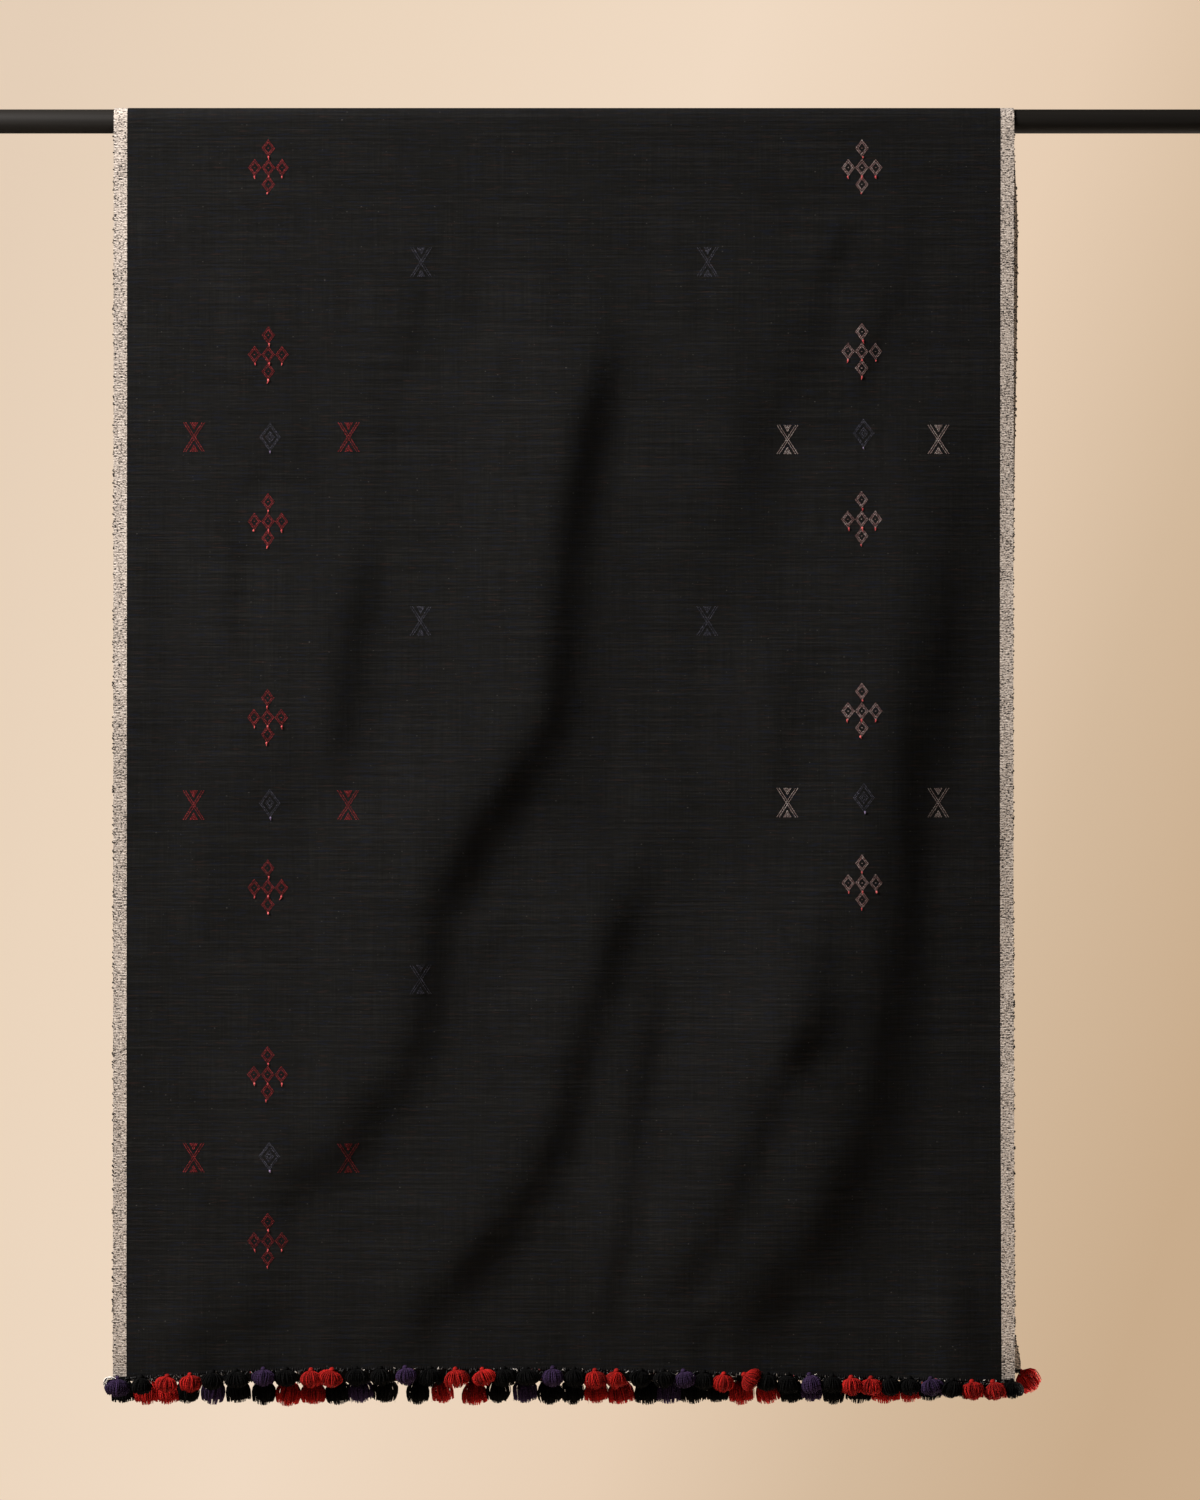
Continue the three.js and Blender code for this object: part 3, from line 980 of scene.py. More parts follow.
@dataclass
class Cloth:
    """The woven sheet, from the front hem over the rod to the back hem, with its two borders."""

    width: float = 710.0
    length: float = 2030.0
    border: float = 10.6
    thickness: float = 1.0
    rows: int = 178
    turn_rows: int = 12
    columns: int = 122
    border_columns: int = 4
    closer_below: float = 0.97
    crisp_angle: float = 60.0

    def surface(self, across: Array) -> tuple[Array, Array]:
        """The middle of the cloth in rows from the front hem to the back hem.

        Args:
            across: flat positions across the cloth.

        Returns:
            The points, as row, column and coordinate, and the distance along the cloth of each.
        """
        down = np.linspace(1.0, 0.0, self.rows + 1) ** self.closer_below
        front_z = down[:, None] * FRONT.hem_height(across)[None, :]
        back_z = down[::-1, None] * BACK.hem_height(across)[None, :]
        wide = np.broadcast_to(across, front_z.shape)
        front = FRONT.at(wide.ravel(), front_z.ravel()).reshape(*front_z.shape, 3)
        back = BACK.at(wide.ravel(), back_z.ravel()).reshape(*back_z.shape, 3)
        angle = np.linspace(math.pi, 0.0, self.turn_rows + 1)[1:-1]
        turn = np.stack(
            np.broadcast_arrays(across[None, :], FRONT.start * np.cos(angle)[:, None],
                                FRONT.start * np.sin(angle)[:, None]), -1)
        points = np.concatenate([front, turn, back])
        quarter = FRONT.start * math.pi / 2.0
        over = np.broadcast_to(((angle - math.pi / 2) * FRONT.start)[:, None], turn.shape[:2])
        along = np.concatenate([quarter - front_z, over, back_z - quarter])
        return points, along

    def strip(self, name: str, across: Array) -> Shape:
        """One strip of the cloth as a thin shell.

        Args:
            name: the strip's name.
            across: its flat stations across.

        Returns:
            The shell.
        """
        points, along = self.surface(across)
        rows, columns, _ = points.shape
        row, column = np.meshgrid(np.arange(rows - 1), np.arange(columns - 1), indexing="ij")
        first = row * columns + column
        faces = np.stack([first, first + 1, first + columns + 1, first + columns], -1).reshape(-1, 4)
        flat = np.stack(np.broadcast_arrays(across[None, :], along), -1).reshape(-1, 2) * MM
        shell = new_shape(name, points.reshape(-1, 3), faces, flat[faces])
        solid = shell.modifiers.new("thickness", "SOLIDIFY")
        solid.thickness = self.thickness * MM
        solid.offset = 0.0
        apply_modifiers(shell)
        bpy.ops.object.shade_smooth_by_angle(angle=math.radians(self.crisp_angle))
        return shell

    def build(self) -> dict[str, Shape]:
        """Weaves the ground and its borders.

        Returns:
            The three strips by name.
        """
        half, inner = self.width / 2.0, self.width / 2.0 - self.border
        strips = {
            "ground": np.linspace(-inner, inner, self.columns + 1),
            "border_left": np.linspace(-half, -inner, self.border_columns + 1),
            "border_right": np.linspace(inner, half, self.border_columns + 1),
        }
        finishes = {
            "ground": GroundFinish().make(),
            "border_left": BorderFinish("left selvedge").make(),
            # painted light: the right selvedge is painted a tenth paler than the left, standing in for light
            # that the lamps don't give that side
            "border_right": BorderFinish("right selvedge", 1.10).make(),
        }
        made = {}
        for strip, across in strips.items():
            shell = self.strip(f"shawl_{strip}", across)
            nodes = [f"{stretch}_{strip}" for stretch in ("front_fall", "turn", "back_fall")]
            made[strip] = finish_piece(shell, finishes[strip], nodes)
        return made


# The woven motifs


Floats = list[tuple[float, float, float]]


@dataclass(frozen=True)
class FloatYarn:
    """The extra weft that the motifs are woven with, as short floats that stand off the cloth."""

    thick: float = 0.46
    height: float = 0.36
    sink: float = 0.10
    stations: tuple[float, ...] = (-0.5, -0.27, 0.27, 0.5)
    swell: tuple[float, ...] = (0.15, 1.0, 1.0, 0.15)
    face_length: float = 0.0003

    def shape(self) -> Bundle:
        """One float, a unit long, as a low pillow of six faces.

        Returns:
            The bundle that holds it.
        """
        points = []
        for x, swell in zip(self.stations, self.swell):
            top = swell * self.height + self.sink
            points += [(x, 0.0, -self.thick / 2), (x, top, 0.0), (x, 0.0, self.thick / 2)]
        row, side = (part.reshape(-1) for part in np.meshgrid(np.arange(3), np.arange(2), indexing="ij"))
        first = 3 * row + side
        faces = np.stack([first, first + 3, first + 4, first + 1], -1)
        near, far = row * self.face_length, (row + 1) * self.face_length
        corners = ((side, near), (side, far), (side + 1, far), (side + 1, near))
        flats = np.stack([np.stack([across / 2, along], -1) for across, along in corners], -2)
        made = Bundle()
        made.add(np.array(points), faces, flats, np.full(len(points), 0.5))
        return made


@dataclass(frozen=True)
class MotifPattern:
    """Where the floats of each ornament go, as rows of position, height and length."""

    pick: float = 0.80
    hourglass_size: Point = (16.6, 22.0)
    diamond_size: Point = (16.0, 21.8)
    diamond_rings: tuple[float, ...] = (1.0, 0.82, 0.40, 0.20)
    cross_size: Point = (9.6, 12.6)
    cross_rings: tuple[float, ...] = (1.0, 0.70)
    cross_places: tuple[Point, ...] = ((0.0, 15.4), (-10.8, 0.0), (0.0, 0.0), (10.8, 0.0), (0.0, -13.2))
    diamond_knots: tuple[Point, ...] = ((0.2, -11.6),)
    cross_knots: tuple[Point, ...] = ((0.3, 8.3), (-10.6, -7.2), (0.3, -7.0), (11.0, -7.2), (-0.6, -20.2))
    side_float: float = 0.72
    tip_float: float = 0.9
    bar_float: float = 0.70
    bar_gap: float = 0.92
    bar_inset: float = 1.1
    wedge_float: float = 0.85
    wedge_from: float = 0.52
    wedge_spacing: float = 1.25

    def diamond(self, size: Point, rings: Sequence[float], dot: bool) -> Floats:
        """A diamond of nested outlines.

        Args:
            size: its width and height.
            rings: the size of each outline, as a share of the whole.
            dot: whether it has a float at its middle.

        Returns:
            The floats.
        """
        floats = []
        for share in rings:
            half_width, half_height = size[0] * share / 2.0, size[1] * share / 2.0
            picks = max(1, round(half_height / self.pick))
            for row in range(-picks, picks + 1):
                reach = half_width * (1.0 - abs(row) / picks)
                z = row * half_height / picks
                length = self.side_float if abs(row) < picks else self.tip_float
                floats += [(reach, z, length), (-reach, z, length)] if reach > 0.3 else [(0.0, z, length)]
        if dot:
            floats.append((0.0, 0.0, self.tip_float))
        return floats

    def hourglass(self, size: Point) -> Floats:
        """Two crossing double bars, with a small solid wedge in the notch at each end.

        Args:
            size: its width and height.

        Returns:
            The floats.
        """
        width, height = size
        floats = []
        picks = round(height / 2.0 / self.pick)
        for row in range(-picks, picks + 1):
            share, z = abs(row / picks), row * self.pick
            centre = share * (width / 2.0 - self.bar_inset)
            for middle in (-centre, centre):
                bars = (middle - self.bar_gap, middle + self.bar_gap)
                floats += [(x, z, self.bar_float) for x in bars]
            if share > self.wedge_from:
                half = (share - 0.5) * width * 0.40
                count = max(1, round(2.0 * half / self.wedge_spacing))
                floats += [(half * (2 * (i + 0.5) / count - 1), z, self.wedge_float) for i in range(count)]
        return floats

    def floats(self, motif: Motif) -> Floats:
        """All the floats of one ornament.

        Args:
            motif: the ornament.

        Returns:
            Its floats.
        """
        if motif is Motif.HOURGLASS:
            return self.hourglass(self.hourglass_size)
        if motif is Motif.DIAMOND:
            return self.diamond(self.diamond_size, self.diamond_rings, False)
        one = self.diamond(self.cross_size, self.cross_rings, True)
        return [(x + dx, z + dz, length) for dx, dz in self.cross_places for x, z, length in one]

    def knots(self, motif: Motif) -> tuple[Point, ...]:
        """Where an ornament's bright knots are tied: under each diamond."""
        return {Motif.DIAMOND: self.diamond_knots, Motif.CROSS: self.cross_knots}.get(motif, ())


@dataclass(frozen=True)
class MotifRow:
    """A line of like ornaments down one fall."""

    fall: Fall
    motif: Motif
    colour: str
    across: float
    heights: tuple[float, ...]


MOTIFS = (
    MotifRow(FRONT, Motif.CROSS, "red", -233.0, (-37.5, -185, -316.5, -471, -605, -752, -883)),
    MotifRow(FRONT, Motif.HOURGLASS, "red", -291.5, (-250, -540, -817.5)),
    MotifRow(FRONT, Motif.HOURGLASS, "red", -169.5, (-250, -540, -817.5)),
    MotifRow(FRONT, Motif.DIAMOND, "slate", -231.5, (-250, -538.5, -816)),
    MotifRow(FRONT, Motif.HOURGLASS, "slate", -112.5, (-112, -395, -677)),
    MotifRow(FRONT, Motif.HOURGLASS, "slate", 113.5, (-112, -395)),
    MotifRow(FRONT, Motif.CROSS, "rose", 235.0, (-37.5, -182.5, -315, -466, -601)),
    MotifRow(FRONT, Motif.HOURGLASS, "cream", 176.5, (-252, -538)),
    MotifRow(FRONT, Motif.HOURGLASS, "cream", 295.5, (-252, -538)),
    MotifRow(FRONT, Motif.DIAMOND, "slate", 236.5, (-247, -534)),
    MotifRow(BACK, Motif.CROSS, "red", -233.0, (-98, -252, -385, -540, -668)),
    MotifRow(BACK, Motif.HOURGLASS, "red", -291.5, (-32, -318, -604)),
    MotifRow(BACK, Motif.HOURGLASS, "red", -170.0, (-32, -318, -604)),
    MotifRow(BACK, Motif.DIAMOND, "slate", -232.0, (-32, -318, -604)),
    MotifRow(BACK, Motif.HOURGLASS, "slate", -113.0, (-172, -458)),
    MotifRow(BACK, Motif.HOURGLASS, "slate", 113.0, (-172, -458, -742)),
    MotifRow(BACK, Motif.CROSS, "rose", 235.0, (-99, -251, -386, -539, -670, -824)),
    MotifRow(BACK, Motif.HOURGLASS, "cream", 176.0, (-32, -319, -605, -888)),
    MotifRow(BACK, Motif.HOURGLASS, "cream", 295.0, (-32, -319, -605, -888)),
    MotifRow(BACK, Motif.DIAMOND, "slate", 235.5, (-32, -318, -604, -888)),
)


@dataclass
class WovenMotifs:
    """The ornaments of both falls, one piece for each colour of yarn."""

    cloth: Cloth
    yarn: FloatYarn = FloatYarn()
    pattern: MotifPattern = MotifPattern()
    knot_radius: float = 0.72
    knot_squash: float = 1.3
    tail_radii: tuple[float, ...] = (0.38, 0.32, 0.28, 0.18)
    seed: int = 31

    def finishes(self) -> dict[str, YarnFinish]:
        """The yarn of each colour.

        Returns:
            The finishes by colour.
        """
        return {
            "red": YarnFinish("red motif yarn", (0.17, 0.008, 0.010), (0.54, 0.065, 0.070)),
            "rose": YarnFinish("rose motif yarn", (0.27, 0.115, 0.11), (0.82, 0.66, 0.62)),
            "cream": YarnFinish("cream motif yarn", (0.36, 0.24, 0.225), (0.86, 0.76, 0.70)),
            "slate": YarnFinish("slate motif yarn", (0.030, 0.030, 0.040), (0.17, 0.165, 0.22), 0.02),
            "bright": YarnFinish("bright knot yarn", (0.42, 0.028, 0.038), (0.70, 0.15, 0.14)),
            "lilac": YarnFinish("lilac knot yarn", (0.10, 0.075, 0.15), (0.28, 0.22, 0.35)),
        }

    def place(self, bundles: dict[str, Bundle], row: MotifRow, z: float, rng: np.random.Generator) -> None:
        """Weaves one ornament in.

        Args:
            bundles: the bundle of each colour.
            row: the line that it belongs to.
            z: its height.
            rng: what makes its yarns uneven.
        """
        floats = np.array(self.pattern.floats(row.motif))
        count = len(floats)
        across = row.across + floats[:, 0] + rng.normal(0.0, 0.09, count)
        height = z + floats[:, 1] + rng.normal(0.0, 0.05, count)
        places, axes = row.fall.frames(across, height, self.cloth.thickness / 2.0 - self.yarn.sink)
        long = floats[:, 2] * rng.uniform(0.85, 1.2, count)
        high = rng.uniform(0.8, 1.25, count)
        wide = rng.uniform(0.85, 1.15, count)
        axes = axes * np.stack([long, high, wide], -1)[:, :, None]
        bundles[row.colour].copies(self.yarn.shape(), axes, places, rng.uniform(0.0, 1.0, count) ** 2.0)
        if self.pattern.knots(row.motif):
            self.tie_knots(bundles["lilac" if row.colour == "slate" else "bright"], row, z, rng)

    def tie_knots(self, bundle: Bundle, row: MotifRow, z: float, rng: np.random.Generator) -> None:
        """Ties one ornament's knots, each with a short tail.

        Args:
            bundle: the bundle of the knots' colour.
            row: the line that the ornament belongs to.
            z: the ornament's height.
            rng: what makes the knots uneven.
        """
        spots = np.array(self.pattern.knots(row.motif))
        count = len(spots)
        across = row.across + spots[:, 0] + rng.normal(0.0, 0.5, count)
        places, axes = row.fall.frames(across, z + spots[:, 1], self.cloth.thickness / 2.0 + 0.3)
        axes = axes * rng.uniform(0.7, 1.15, (count, 1, 1))
        knot = ball(self.knot_radius, self.knot_squash)
        bundle.copies(knot, axes, places, rng.uniform(0.2, 1.0, count))
        drop = rng.uniform(0.9, 2.4, count)
        sway = rng.normal(0.0, 0.5, count)
        steps = np.linspace(0.0, 1.0, len(self.tail_radii))[None, :, None]
        tail = places[:, None] + axes[:, None, 2] * drop[:, None, None] * steps
        tail = tail + axes[:, None, 0] * sway[:, None, None] * steps**2
        radii = np.broadcast_to(np.array(self.tail_radii), tail.shape[:2])
        bundle.strands(tail, radii, rng.uniform(0.1, 0.8, count))

    def build(self) -> list[Shape]:
        """Weaves all the ornaments.

        Returns:
            The pieces, one for each colour.
        """
        rng = np.random.default_rng(self.seed)
        finishes = self.finishes()
        bundles = {colour: Bundle() for colour in finishes}
        for row in MOTIFS:
            for z in row.heights:
                self.place(bundles, row, z, rng)
        return [
            finish_piece(bundle.make(f"motifs_{colour}"), finishes[colour].make())
            for colour, bundle in bundles.items()
        ]


# The hems and their tassels


@dataclass(frozen=True)
class TasselRow:
    """The tassels along one hem."""

    fall: Fall
    places: tuple[float, ...]
    run: tuple[Yarn, ...]
    leans: dict[int, float]
    length: float
    curl: Span
    fullness: float
    # painted light: a tassel's shades are lifted by these shares so that it looks lit where the front fall
    # shades it; the listed tassels, deepest in shade, get the last share
    painted_light_lift: float = 0.0
    painted_lit_tassels: tuple[int, ...] = ()
    painted_light_lift_most: float = 0.95

    def colour(self, number: int) -> Yarn:
        """The yarn of a tassel, counted from the left."""
        return self.run[number % len(self.run)]

    def pitch(self, number: int) -> float:
        """The distance from a tassel to the nearer of its neighbours."""
        return float(np.partition(np.abs(np.array(self.places) - self.places[number]), 1)[1])


B, R, P = Yarn.BLACK, Yarn.RED, Yarn.PURPLE
TASSEL_ROWS = (
    TasselRow(
        fall=FRONT,
        places=(
            -351.2, -332.8, -311.9, -294.1, -276.4, -257.9, -236.4, -218.5, -198.8, -182.4, -163.4, -144.2,
            -124.9, -105.1, -85.3, -64.2, -47.1, -29.2, -8.7, 7.9, 24.4, 41.5, 60.7, 78.0, 94.0, 110.1, 125.8,
            141.8, 160.0, 176.5, 193.1, 210.9, 226.0, 241.5, 256.1, 271.9, 288.4, 305.5, 320.7, 337.3, 352.4,
        ),
        run=(P, B, R, R, B, B),
        leans={
            2: -0.14, 3: 0.05, 6: 0.04, 8: -0.02, 9: -0.22, 12: 0.15, 14: 0.12, 15: 0.28, 18: 0.0, 24: 0.20,
            26: -0.08, 27: 0.95, 30: 0.25, 32: 0.08, 33: 0.02, 36: 0.18, 38: 0.14, 39: 0.25,
        },
        length=16.6,
        curl=(0.10, 0.40),
        fullness=1.07,
    ),
    TasselRow(
        fall=BACK,
        places=(
            -350.6, -332.1, -315.6, -299.1, -277.6, -260.0, -238.4, -218.0, -199.4, -180.9, -163.4, -142.0,
            -116.6, -97.7, -72.0, -52.2, -31.7, -12.0, 5.3, 24.4, 43.8, 65.4, 82.5, 101.1, 120.9, 139.3,
            159.8, 178.9, 196.8, 214.6, 234.4, 254.2, 272.7, 289.9, 305.7, 320.0, 334.0, 347.0, 362.0,
        ),
        run=(B, R, R, B, P, B),
        leans={0: 0.05, 7: -0.1, 9: 0.12, 13: 0.1, 16: 0.05, 26: 0.16, 37: 0.1, 38: 0.66},
        length=22.6,
        curl=(-0.06, 0.14),
        fullness=1.16,
        # painted light: the back tassels are made lighter to stand in for the light that the front fall keeps
        # from them, the last one at the right corner most of all
        painted_light_lift=0.4,
        painted_lit_tassels=(38,),
    ),
)


@dataclass
class HemBand:
    """The knotted edge below the cloth: a dark roll, whipped over with ends of many colours."""

    row: TasselRow
    height: float = 4.4
    thickness: float = 1.3
    half_length: float = 354.6
    lap: float = 1.2
    rings: int = 300
    sides: int = 8
    ring_gap: float = 2.4
    unevenness: float = 0.10
    stitches: int = 420
    stitch_radii: tuple[float, ...] = (0.2, 0.32, 0.34, 0.3, 0.2)
    stitch_lengths: Span = (0.9, 3.2)
    stitch_slant: float = 0.75
    stitch_shift: float = 1.5
    seed: int = 5

    def line(self, count: int, drop: Array | float, out: Array | float = 0.0) -> Array:
        """Points along the hem.

        Args:
            count: how many.
            drop: how far below the hem they are.
            out: how far out from the middle of the cloth.

        Returns:
            The points, one to a row.
        """
        across = np.linspace(-self.half_length, self.half_length, count)
        points = self.row.fall.at(across, self.row.fall.hem_height(across))
        points[:, 1] += self.row.fall.side.value * out
        points[:, 2] -= drop
        return points

    def roll(self) -> Bundle:
        """The dark roll of cloth and knotted yarn.

        Returns:
            The bundle that holds it.
        """
        middle = self.line(self.rings, self.height / 2.0 - self.lap)
        turn = (np.arange(self.sides) * 2.0 + 1.0) * math.pi / self.sides
        rng = np.random.default_rng(self.seed)
        swell = 1.0 + self.unevenness * rng.standard_normal((self.rings, 1))
        out, up = np.cos(turn) * self.thickness * 0.46, np.sin(turn) * self.height * 0.5
        offsets = np.stack([np.zeros(self.sides), out, up], -1)
        points = middle[:, None] + offsets[None] * swell[..., None]
        faces, row, side = tube_faces(self.rings - 1, self.sides)
        gap = self.ring_gap * MM
        flats = flat_corners(side / self.sides, (side + 1) / self.sides, row * gap, (row + 1) * gap)
        shades = np.full(self.rings * self.sides, 0.3)
        made = Bundle()
        made.add(points.reshape(-1, 3), faces.reshape(-1, 4), flats.reshape(-1, 4, 2), shades)
        return made

    def ends(self) -> Bundle:
        """The slanting stitches and small knots over the roll, on both of its faces.

        Returns:
            The bundle that holds them.
        """
        rng = np.random.default_rng(self.seed + 1)
        count = self.stitches
        thick = np.array(self.stitch_radii)
        t = np.linspace(0.0, 1.0, len(thick))[None, :]
        made = Bundle()
        for face in (1.0, -1.0):
            start = self.line(count, rng.uniform(0.2, self.height - 0.8, count), face * self.thickness * 0.72)
            start[:, 0] += rng.normal(0.0, self.stitch_shift, count)
            slant = rng.normal(0.0, self.stitch_slant, count)[:, None] * (0.4 + 0.6 * t)
            reach = rng.uniform(*self.stitch_lengths, count)[:, None]
            paths = np.repeat(start[:, None], len(thick), axis=1)
            paths[..., 0] += reach * np.sin(slant) * t
            paths[..., 2] -= reach * np.cos(slant) * t
            paths[..., 1] += self.row.fall.side.value * face * 0.6 * np.sin(math.pi * t)
            radii = thick * rng.uniform(0.8, 1.2, (count, 1))
            made.strands(paths, radii, rng.uniform(0.0, 1.0, count))
        return made

    def build(self) -> list[Shape]:
        """Makes the roll and its stitches.

        Returns:
            The two pieces.
        """
        side = self.row.fall.side.word
        black, grey = (0.003, 0.003, 0.003), (0.012, 0.011, 0.011)
        dark = YarnFinish(f"{side} hem yarn", black, grey, 0.0, 0.06).make()
        mixed = MixedYarnFinish(
            f"{side} whipped ends",
            ((0.0, (0.010, 0.0095, 0.0095)), (0.66, (0.055, 0.043, 0.034)), (0.84, (0.19, 0.155, 0.125)),
             (0.90, (0.50, 0.44, 0.38)), (0.97, (0.20, 0.012, 0.012))),
        ).make()
        return [
            finish_piece(self.roll().make(f"{side}_hem_roll"), dark),
            finish_piece(self.ends().make(f"{side}_hem_stitches"), mixed),
        ]


@dataclass
class Tassels:
    """The small round tassels of one hem, one piece for each colour of yarn.

    A skirt swells to its widest at a share of its length, plumpest, and the smaller the power,
    bulge, the sooner it does. The strands at its rim are cut shorter by a share, rounding.
    """

    row: TasselRow
    radius: float = 7.9
    head: float = 2.2
    strands: int = 98
    steps: int = 6
    unevenness: float = 0.06
    plumpest: Span = (0.50, 0.80)
    bulge: Span = (0.48, 0.72)
    lengths: Span = (0.93, 1.05)
    rounding: Span = (0.10, 0.19)
    raggedness: float = 0.22
    strand_twist: float = 0.16
    skirt_twist: Span = (-0.25, 0.25)
    strand_radii: Span = (0.33, 0.46)
    taper: tuple[Point, ...] = ((0.0, 0.6), (0.25, 0.95), (0.85, 1.0), (1.0, 0.55))
    overlap: float = 2.3
    strays: int = 5
    cores: int = 5
    core_radii: tuple[float, ...] = (1.0, 2.4, 2.9, 2.0)
    stray_radii: tuple[float, ...] = (0.13, 0.13, 0.13, 0.13, 0.12, 0.08)
    ties: tuple[float, ...] = (-1.7, -2.35)
    tie_radius: float = 2.05
    tie_thickness: float = 0.36
    seed: int = 11

    def finishes(self) -> dict[Yarn, YarnFinish]:
        """The yarn of each colour.

        Returns:
            The finishes by colour.
        """
        black, black_light = (0.0012, 0.0012, 0.0012), (0.0050, 0.0048, 0.0046)
        red, red_light = (0.060, 0.0026, 0.0022), (0.40, 0.012, 0.009)
        purple, purple_light = (0.006, 0.0036, 0.009), (0.036, 0.019, 0.055)
        return {
            Yarn.BLACK: YarnFinish("black tassel yarn", black, black_light, 0.0, 0.02),
            Yarn.RED: YarnFinish("red tassel yarn", red, red_light, 0.0, 0.06),
            Yarn.PURPLE: YarnFinish("purple tassel yarn", purple, purple_light, 0.0, 0.06),
        }

    def skirt(self, rng: np.random.Generator, scale: float) -> tuple[Array, Array, Array]:
        """The strands of one tassel, hanging from the origin.

        Args:
            rng: what makes the strands uneven.
            scale: how wide this tassel is, as a share of the usual.

        Returns:
            The strands' paths, radii and shades.
        """
        count = self.strands
        turn = np.arange(count) * GOLDEN_TURN + rng.uniform(0.0, ANY_PHASE)
        share = np.sqrt((np.arange(count) + 0.5) / count)
        share = np.where(share > 0.5, 0.80 + 0.20 * share, share)
        reach = share * self.radius * scale * rng.normal(1.0, self.unevenness, count)
        bell = np.linspace(0.0, 1.0, self.steps)
        plump = rng.uniform(*self.plumpest)
        opening = np.sin(np.clip(bell / plump, 0.0, 1.0) * math.pi / 2.0) ** rng.uniform(*self.bulge)
        closing = np.clip((bell - plump) / (1.0 - plump), 0.0, 1.0) ** 1.6
        opening = opening - rng.uniform(*self.row.curl) * closing
        tall = (self.row.length - self.head) * rng.uniform(*self.lengths)
        spread = reach / (self.radius * scale)
        drop = tall * (1.0 - rng.uniform(*self.rounding) * spread**2.0)
        drop = drop + rng.normal(0.0, self.raggedness, count)
        twist = rng.normal(0.0, self.strand_twist, (count, 1)) * bell[None, :]
        twist = twist + rng.uniform(*self.skirt_twist) * bell[None, :]
        out = reach[:, None] * opening[None, :] + 0.7 * (1.0 - bell)[None, :]
        angle = turn[:, None] + twist
        paths = np.stack([out * np.cos(angle), out * np.sin(angle), -drop[:, None] * bell[None, :]], -1)
        thick = rng.uniform(*self.strand_radii, count)[:, None] * np.interp(bell, *zip(*self.taper))
        return paths, thick, rng.uniform(0.0, 1.0, count) ** 1.3

    def stray(self, rng: np.random.Generator, scale: float) -> tuple[Array, Array]:
        """A few thin hairs that stand off the skirt.

        Args:
            rng: what makes them uneven.
            scale: how wide this tassel is, as a share of the usual.

        Returns:
            The hairs' paths and radii.
        """
        count = self.strays
        bell = np.linspace(0.0, 1.0, len(self.stray_radii))
        turn = rng.uniform(0.0, FULL_TURN, count)
        reach = self.radius * scale * rng.uniform(0.95, 1.14, count)
        out = reach[:, None] * np.sin(bell * math.pi / 2.0) ** 0.9
        drop = (self.row.length - self.head) * rng.uniform(0.55, 0.9, count)[:, None] * bell
        angle = turn[:, None] + rng.normal(0.0, 0.4, (count, 1)) * bell
        paths = np.stack([out * np.cos(angle), out * np.sin(angle), -drop], -1)
        return paths, np.broadcast_to(np.array(self.stray_radii), out.shape)

    def core(self, scale: float) -> tuple[Array, Array]:
        """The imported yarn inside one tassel, as a few stout strands.

        Args:
            scale: how wide this tassel is, as a share of the usual.

        Returns:
            The strands' paths and radii.
        """
        bell = np.linspace(0.0, 1.0, len(self.core_radii))
        turn = np.arange(self.cores)[:, None] * FULL_TURN / self.cores
        out = 0.46 * self.radius * scale * np.sin(bell * math.pi / 2.0)
        depth = -bell * (self.row.length - self.head - 3.4)
        paths = np.stack(np.broadcast_arrays(np.cos(turn) * out, np.sin(turn) * out, depth), -1)
        return paths, np.broadcast_to(np.array(self.core_radii) * scale, paths.shape[:2])

    def hang(self, points: Array, place: Array, lean: float, nod: float) -> Array:
        """Turns points about a tassel's root and moves them to its place.

        Args:
            points: the points, hanging from the origin.
            place: where the root is.
            lean: the turn to the left or right, in radians.
            nod: the turn to the front or back.

        Returns:
            The moved points.
        """
        cos, sin = math.cos(lean), math.sin(lean)
        sideways = np.array([[cos, 0, -sin], [0, 1, 0], [sin, 0, cos]])
        cos, sin = math.cos(nod), math.sin(nod)
        forward = np.array([[1, 0, 0], [0, cos, -sin], [0, sin, cos]])
        return points @ (sideways @ forward).T + place

    def root(self, number: int) -> Array:
        """Where a tassel hangs from the hem.

        Args:
            number: its place in the row, from the left.

        Returns:
            The point that it hangs from.
        """
        fall, yarn = self.row.fall, self.row.colour(number)
        across = np.array([fall.across_at(self.row.places[number], fall.hem[0][1])])
        out = 2.6 if yarn is Yarn.BLACK else 3.4
        lift = {Yarn.PURPLE: 2.3, Yarn.BLACK: 1.8, Yarn.RED: 0.9}[yarn]
        hem = fall.at(across, fall.hem_height(across))[0]
        return hem + np.array([0.0, fall.side.value * out, lift - self.head - 0.6])

    def tie(self, bundle: Bundle, number: int, rng: np.random.Generator) -> None:
        """Makes one tassel.

        Args:
            bundle: the bundle of its colour.
            number: its place in the row, from the left.
            rng: what makes it uneven.
        """
        row = self.row
        widest = (row.pitch(number) / 2.0 + self.overlap) / self.radius
        scale = min(row.fullness, widest) * rng.uniform(0.90, 1.10)
        place = self.root(number)
        lean = row.leans.get(number, rng.normal(0.0, 0.07))
        nod = rng.normal(0.0, 0.06)
        paths, radii, shades = self.skirt(rng, scale)
